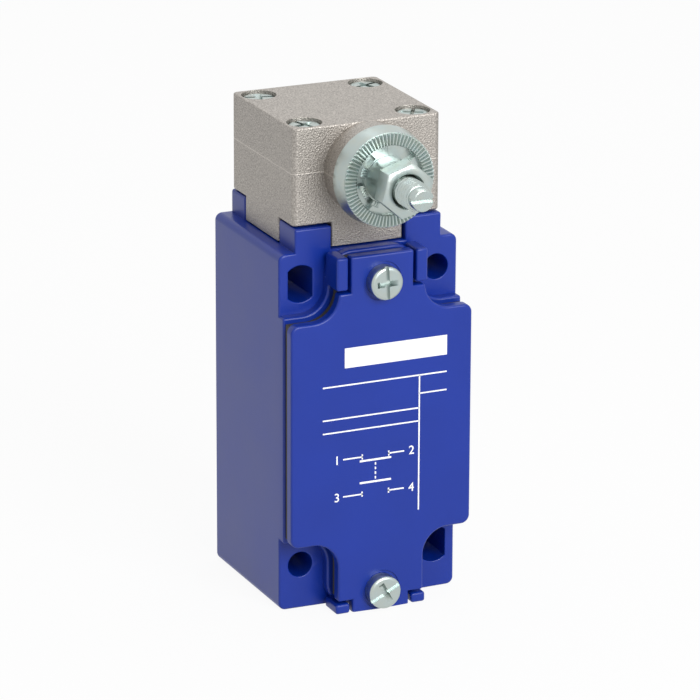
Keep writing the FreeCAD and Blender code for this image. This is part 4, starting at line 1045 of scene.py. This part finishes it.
# ---------------------------------------------------------------- stage
def soft_lamp(name, place, target, size, power):
    """A square soft lamp turned to a point."""
    light = bpy.data.lights.new(name, "AREA")
    light.shape = "SQUARE"
    light.size = size
    light.energy = power
    lamp = link(name, light)
    lamp.location = place
    lamp.rotation_euler = (Vector(target) - Vector(place)).to_track_quat("-Z", "Y").to_euler()


class SWITCH_OT_stage(bpy.types.Operator):
    """Pale floor, white room, two soft lamps and the camera"""

    bl_idname = "limit_switch.stage"
    bl_label = "Stage"

    def execute(self, context):
        scene = context.scene
        stage = scene.switch_stage
        low, high = CAD_BOX
        middle = (low + high) / 2
        scene.view_settings.view_transform = "Standard"
        work = bmesh.new()
        bmesh.ops.create_grid(work, x_segments=8, y_segments=8, size=4.0)
        bmesh.ops.translate(work, verts=work.verts, vec=(0, 0, low.z - 0.05 * MM))
        floor = link("studio_floor", plain_mesh("studio_floor", work))
        floor.data.materials.append(studio_floor(scene.switch_colours.floor))

        world = bpy.data.worlds.new("White room")
        scene.world = world
        world.use_nodes = True
        tree = world.node_tree
        tree.nodes.clear()
        room = add(tree, "ShaderNodeBackground", {"Color": (1.0, 1.0, 1.0, 1.0), "Strength": stage.ambient})
        white = add(tree, "ShaderNodeBackground", {"Color": (1.0, 1.0, 1.0, 1.0), "Strength": 1.0})
        mix = add(tree, "ShaderNodeMixShader", {
            0: seen_directly(tree), 1: room.outputs[0], 2: white.outputs[0]})
        add(tree, "ShaderNodeOutputWorld", {"Surface": mix.outputs[0]})

        soft_lamp("key_lamp", middle + Vector((0.15, -0.95, 0.5)), middle, 0.6, stage.key)
        soft_lamp("top_lamp", middle + Vector((0.15, 0.25, 0.9)), middle, 0.8, stage.top)

        data = bpy.data.cameras.new("camera")
        data.lens = stage.lens
        data.sensor_width = 36.0
        data.clip_start = 0.01
        data.clip_end = 20.0
        camera = link("camera", data)
        ahead = Vector((math.sin(stage.yaw) * math.cos(stage.pitch),
                        math.cos(stage.yaw) * math.cos(stage.pitch), -math.sin(stage.pitch)))
        right = Vector((math.cos(stage.yaw), -math.sin(stage.yaw), 0.0))
        up = right.cross(ahead)
        tilt = stage.roll
        across = right * math.cos(tilt) + up * math.sin(tilt)
        rise = up * math.cos(tilt) - right * math.sin(tilt)
        target = middle + Vector((2.0, 9.6, -1.8)) * MM
        turn = Matrix((across, rise, -ahead)).transposed().to_4x4()
        camera.matrix_world = Matrix.Translation(target - ahead * stage.distance) @ turn
        scene.camera = camera
        return {"FINISHED"}


# ---------------------------------------------------------------- panel and registration
STEPS = ("stage", "inner", "housing", "cover", "print", "screws", "head", "disc", "nut", "spindle")


class SWITCH_PT_panel(bpy.types.Panel):
    """Lists the operators and settings of the limit switch"""

    bl_idname = "SWITCH_PT_panel"
    bl_label = "Limit Switch"
    bl_space_type = "VIEW_3D"
    bl_region_type = "UI"
    bl_category = "Limit Switch"

    def draw(self, context):
        column = self.layout.column()
        for step in STEPS:
            column.operator("limit_switch." + step)
        for group in ("switch_sizes", "switch_colours", "switch_stage"):
            holder = getattr(context.scene, group)
            for word in holder.__annotations__:
                column.prop(holder, word)


CLASSES = (
    SwitchSizes, SwitchColours, SwitchStage, SWITCH_OT_stage, SWITCH_OT_inner, SWITCH_OT_housing,
    SWITCH_OT_cover, SWITCH_OT_print, SWITCH_OT_screws, SWITCH_OT_head, SWITCH_OT_disc, SWITCH_OT_nut,
    SWITCH_OT_spindle, SWITCH_PT_panel,
)


def register():
    for item in CLASSES:
        bpy.utils.register_class(item)
    bpy.types.Scene.switch_sizes = bpy.props.PointerProperty(type=SwitchSizes)
    bpy.types.Scene.switch_colours = bpy.props.PointerProperty(type=SwitchColours)
    bpy.types.Scene.switch_stage = bpy.props.PointerProperty(type=SwitchStage)


def unregister():
    del bpy.types.Scene.switch_stage
    del bpy.types.Scene.switch_colours
    del bpy.types.Scene.switch_sizes
    for item in reversed(CLASSES):
        bpy.utils.unregister_class(item)


def main():
    register()
    for step in STEPS:
        getattr(bpy.ops.limit_switch, step)()


if __name__ == "__main__":
    main()
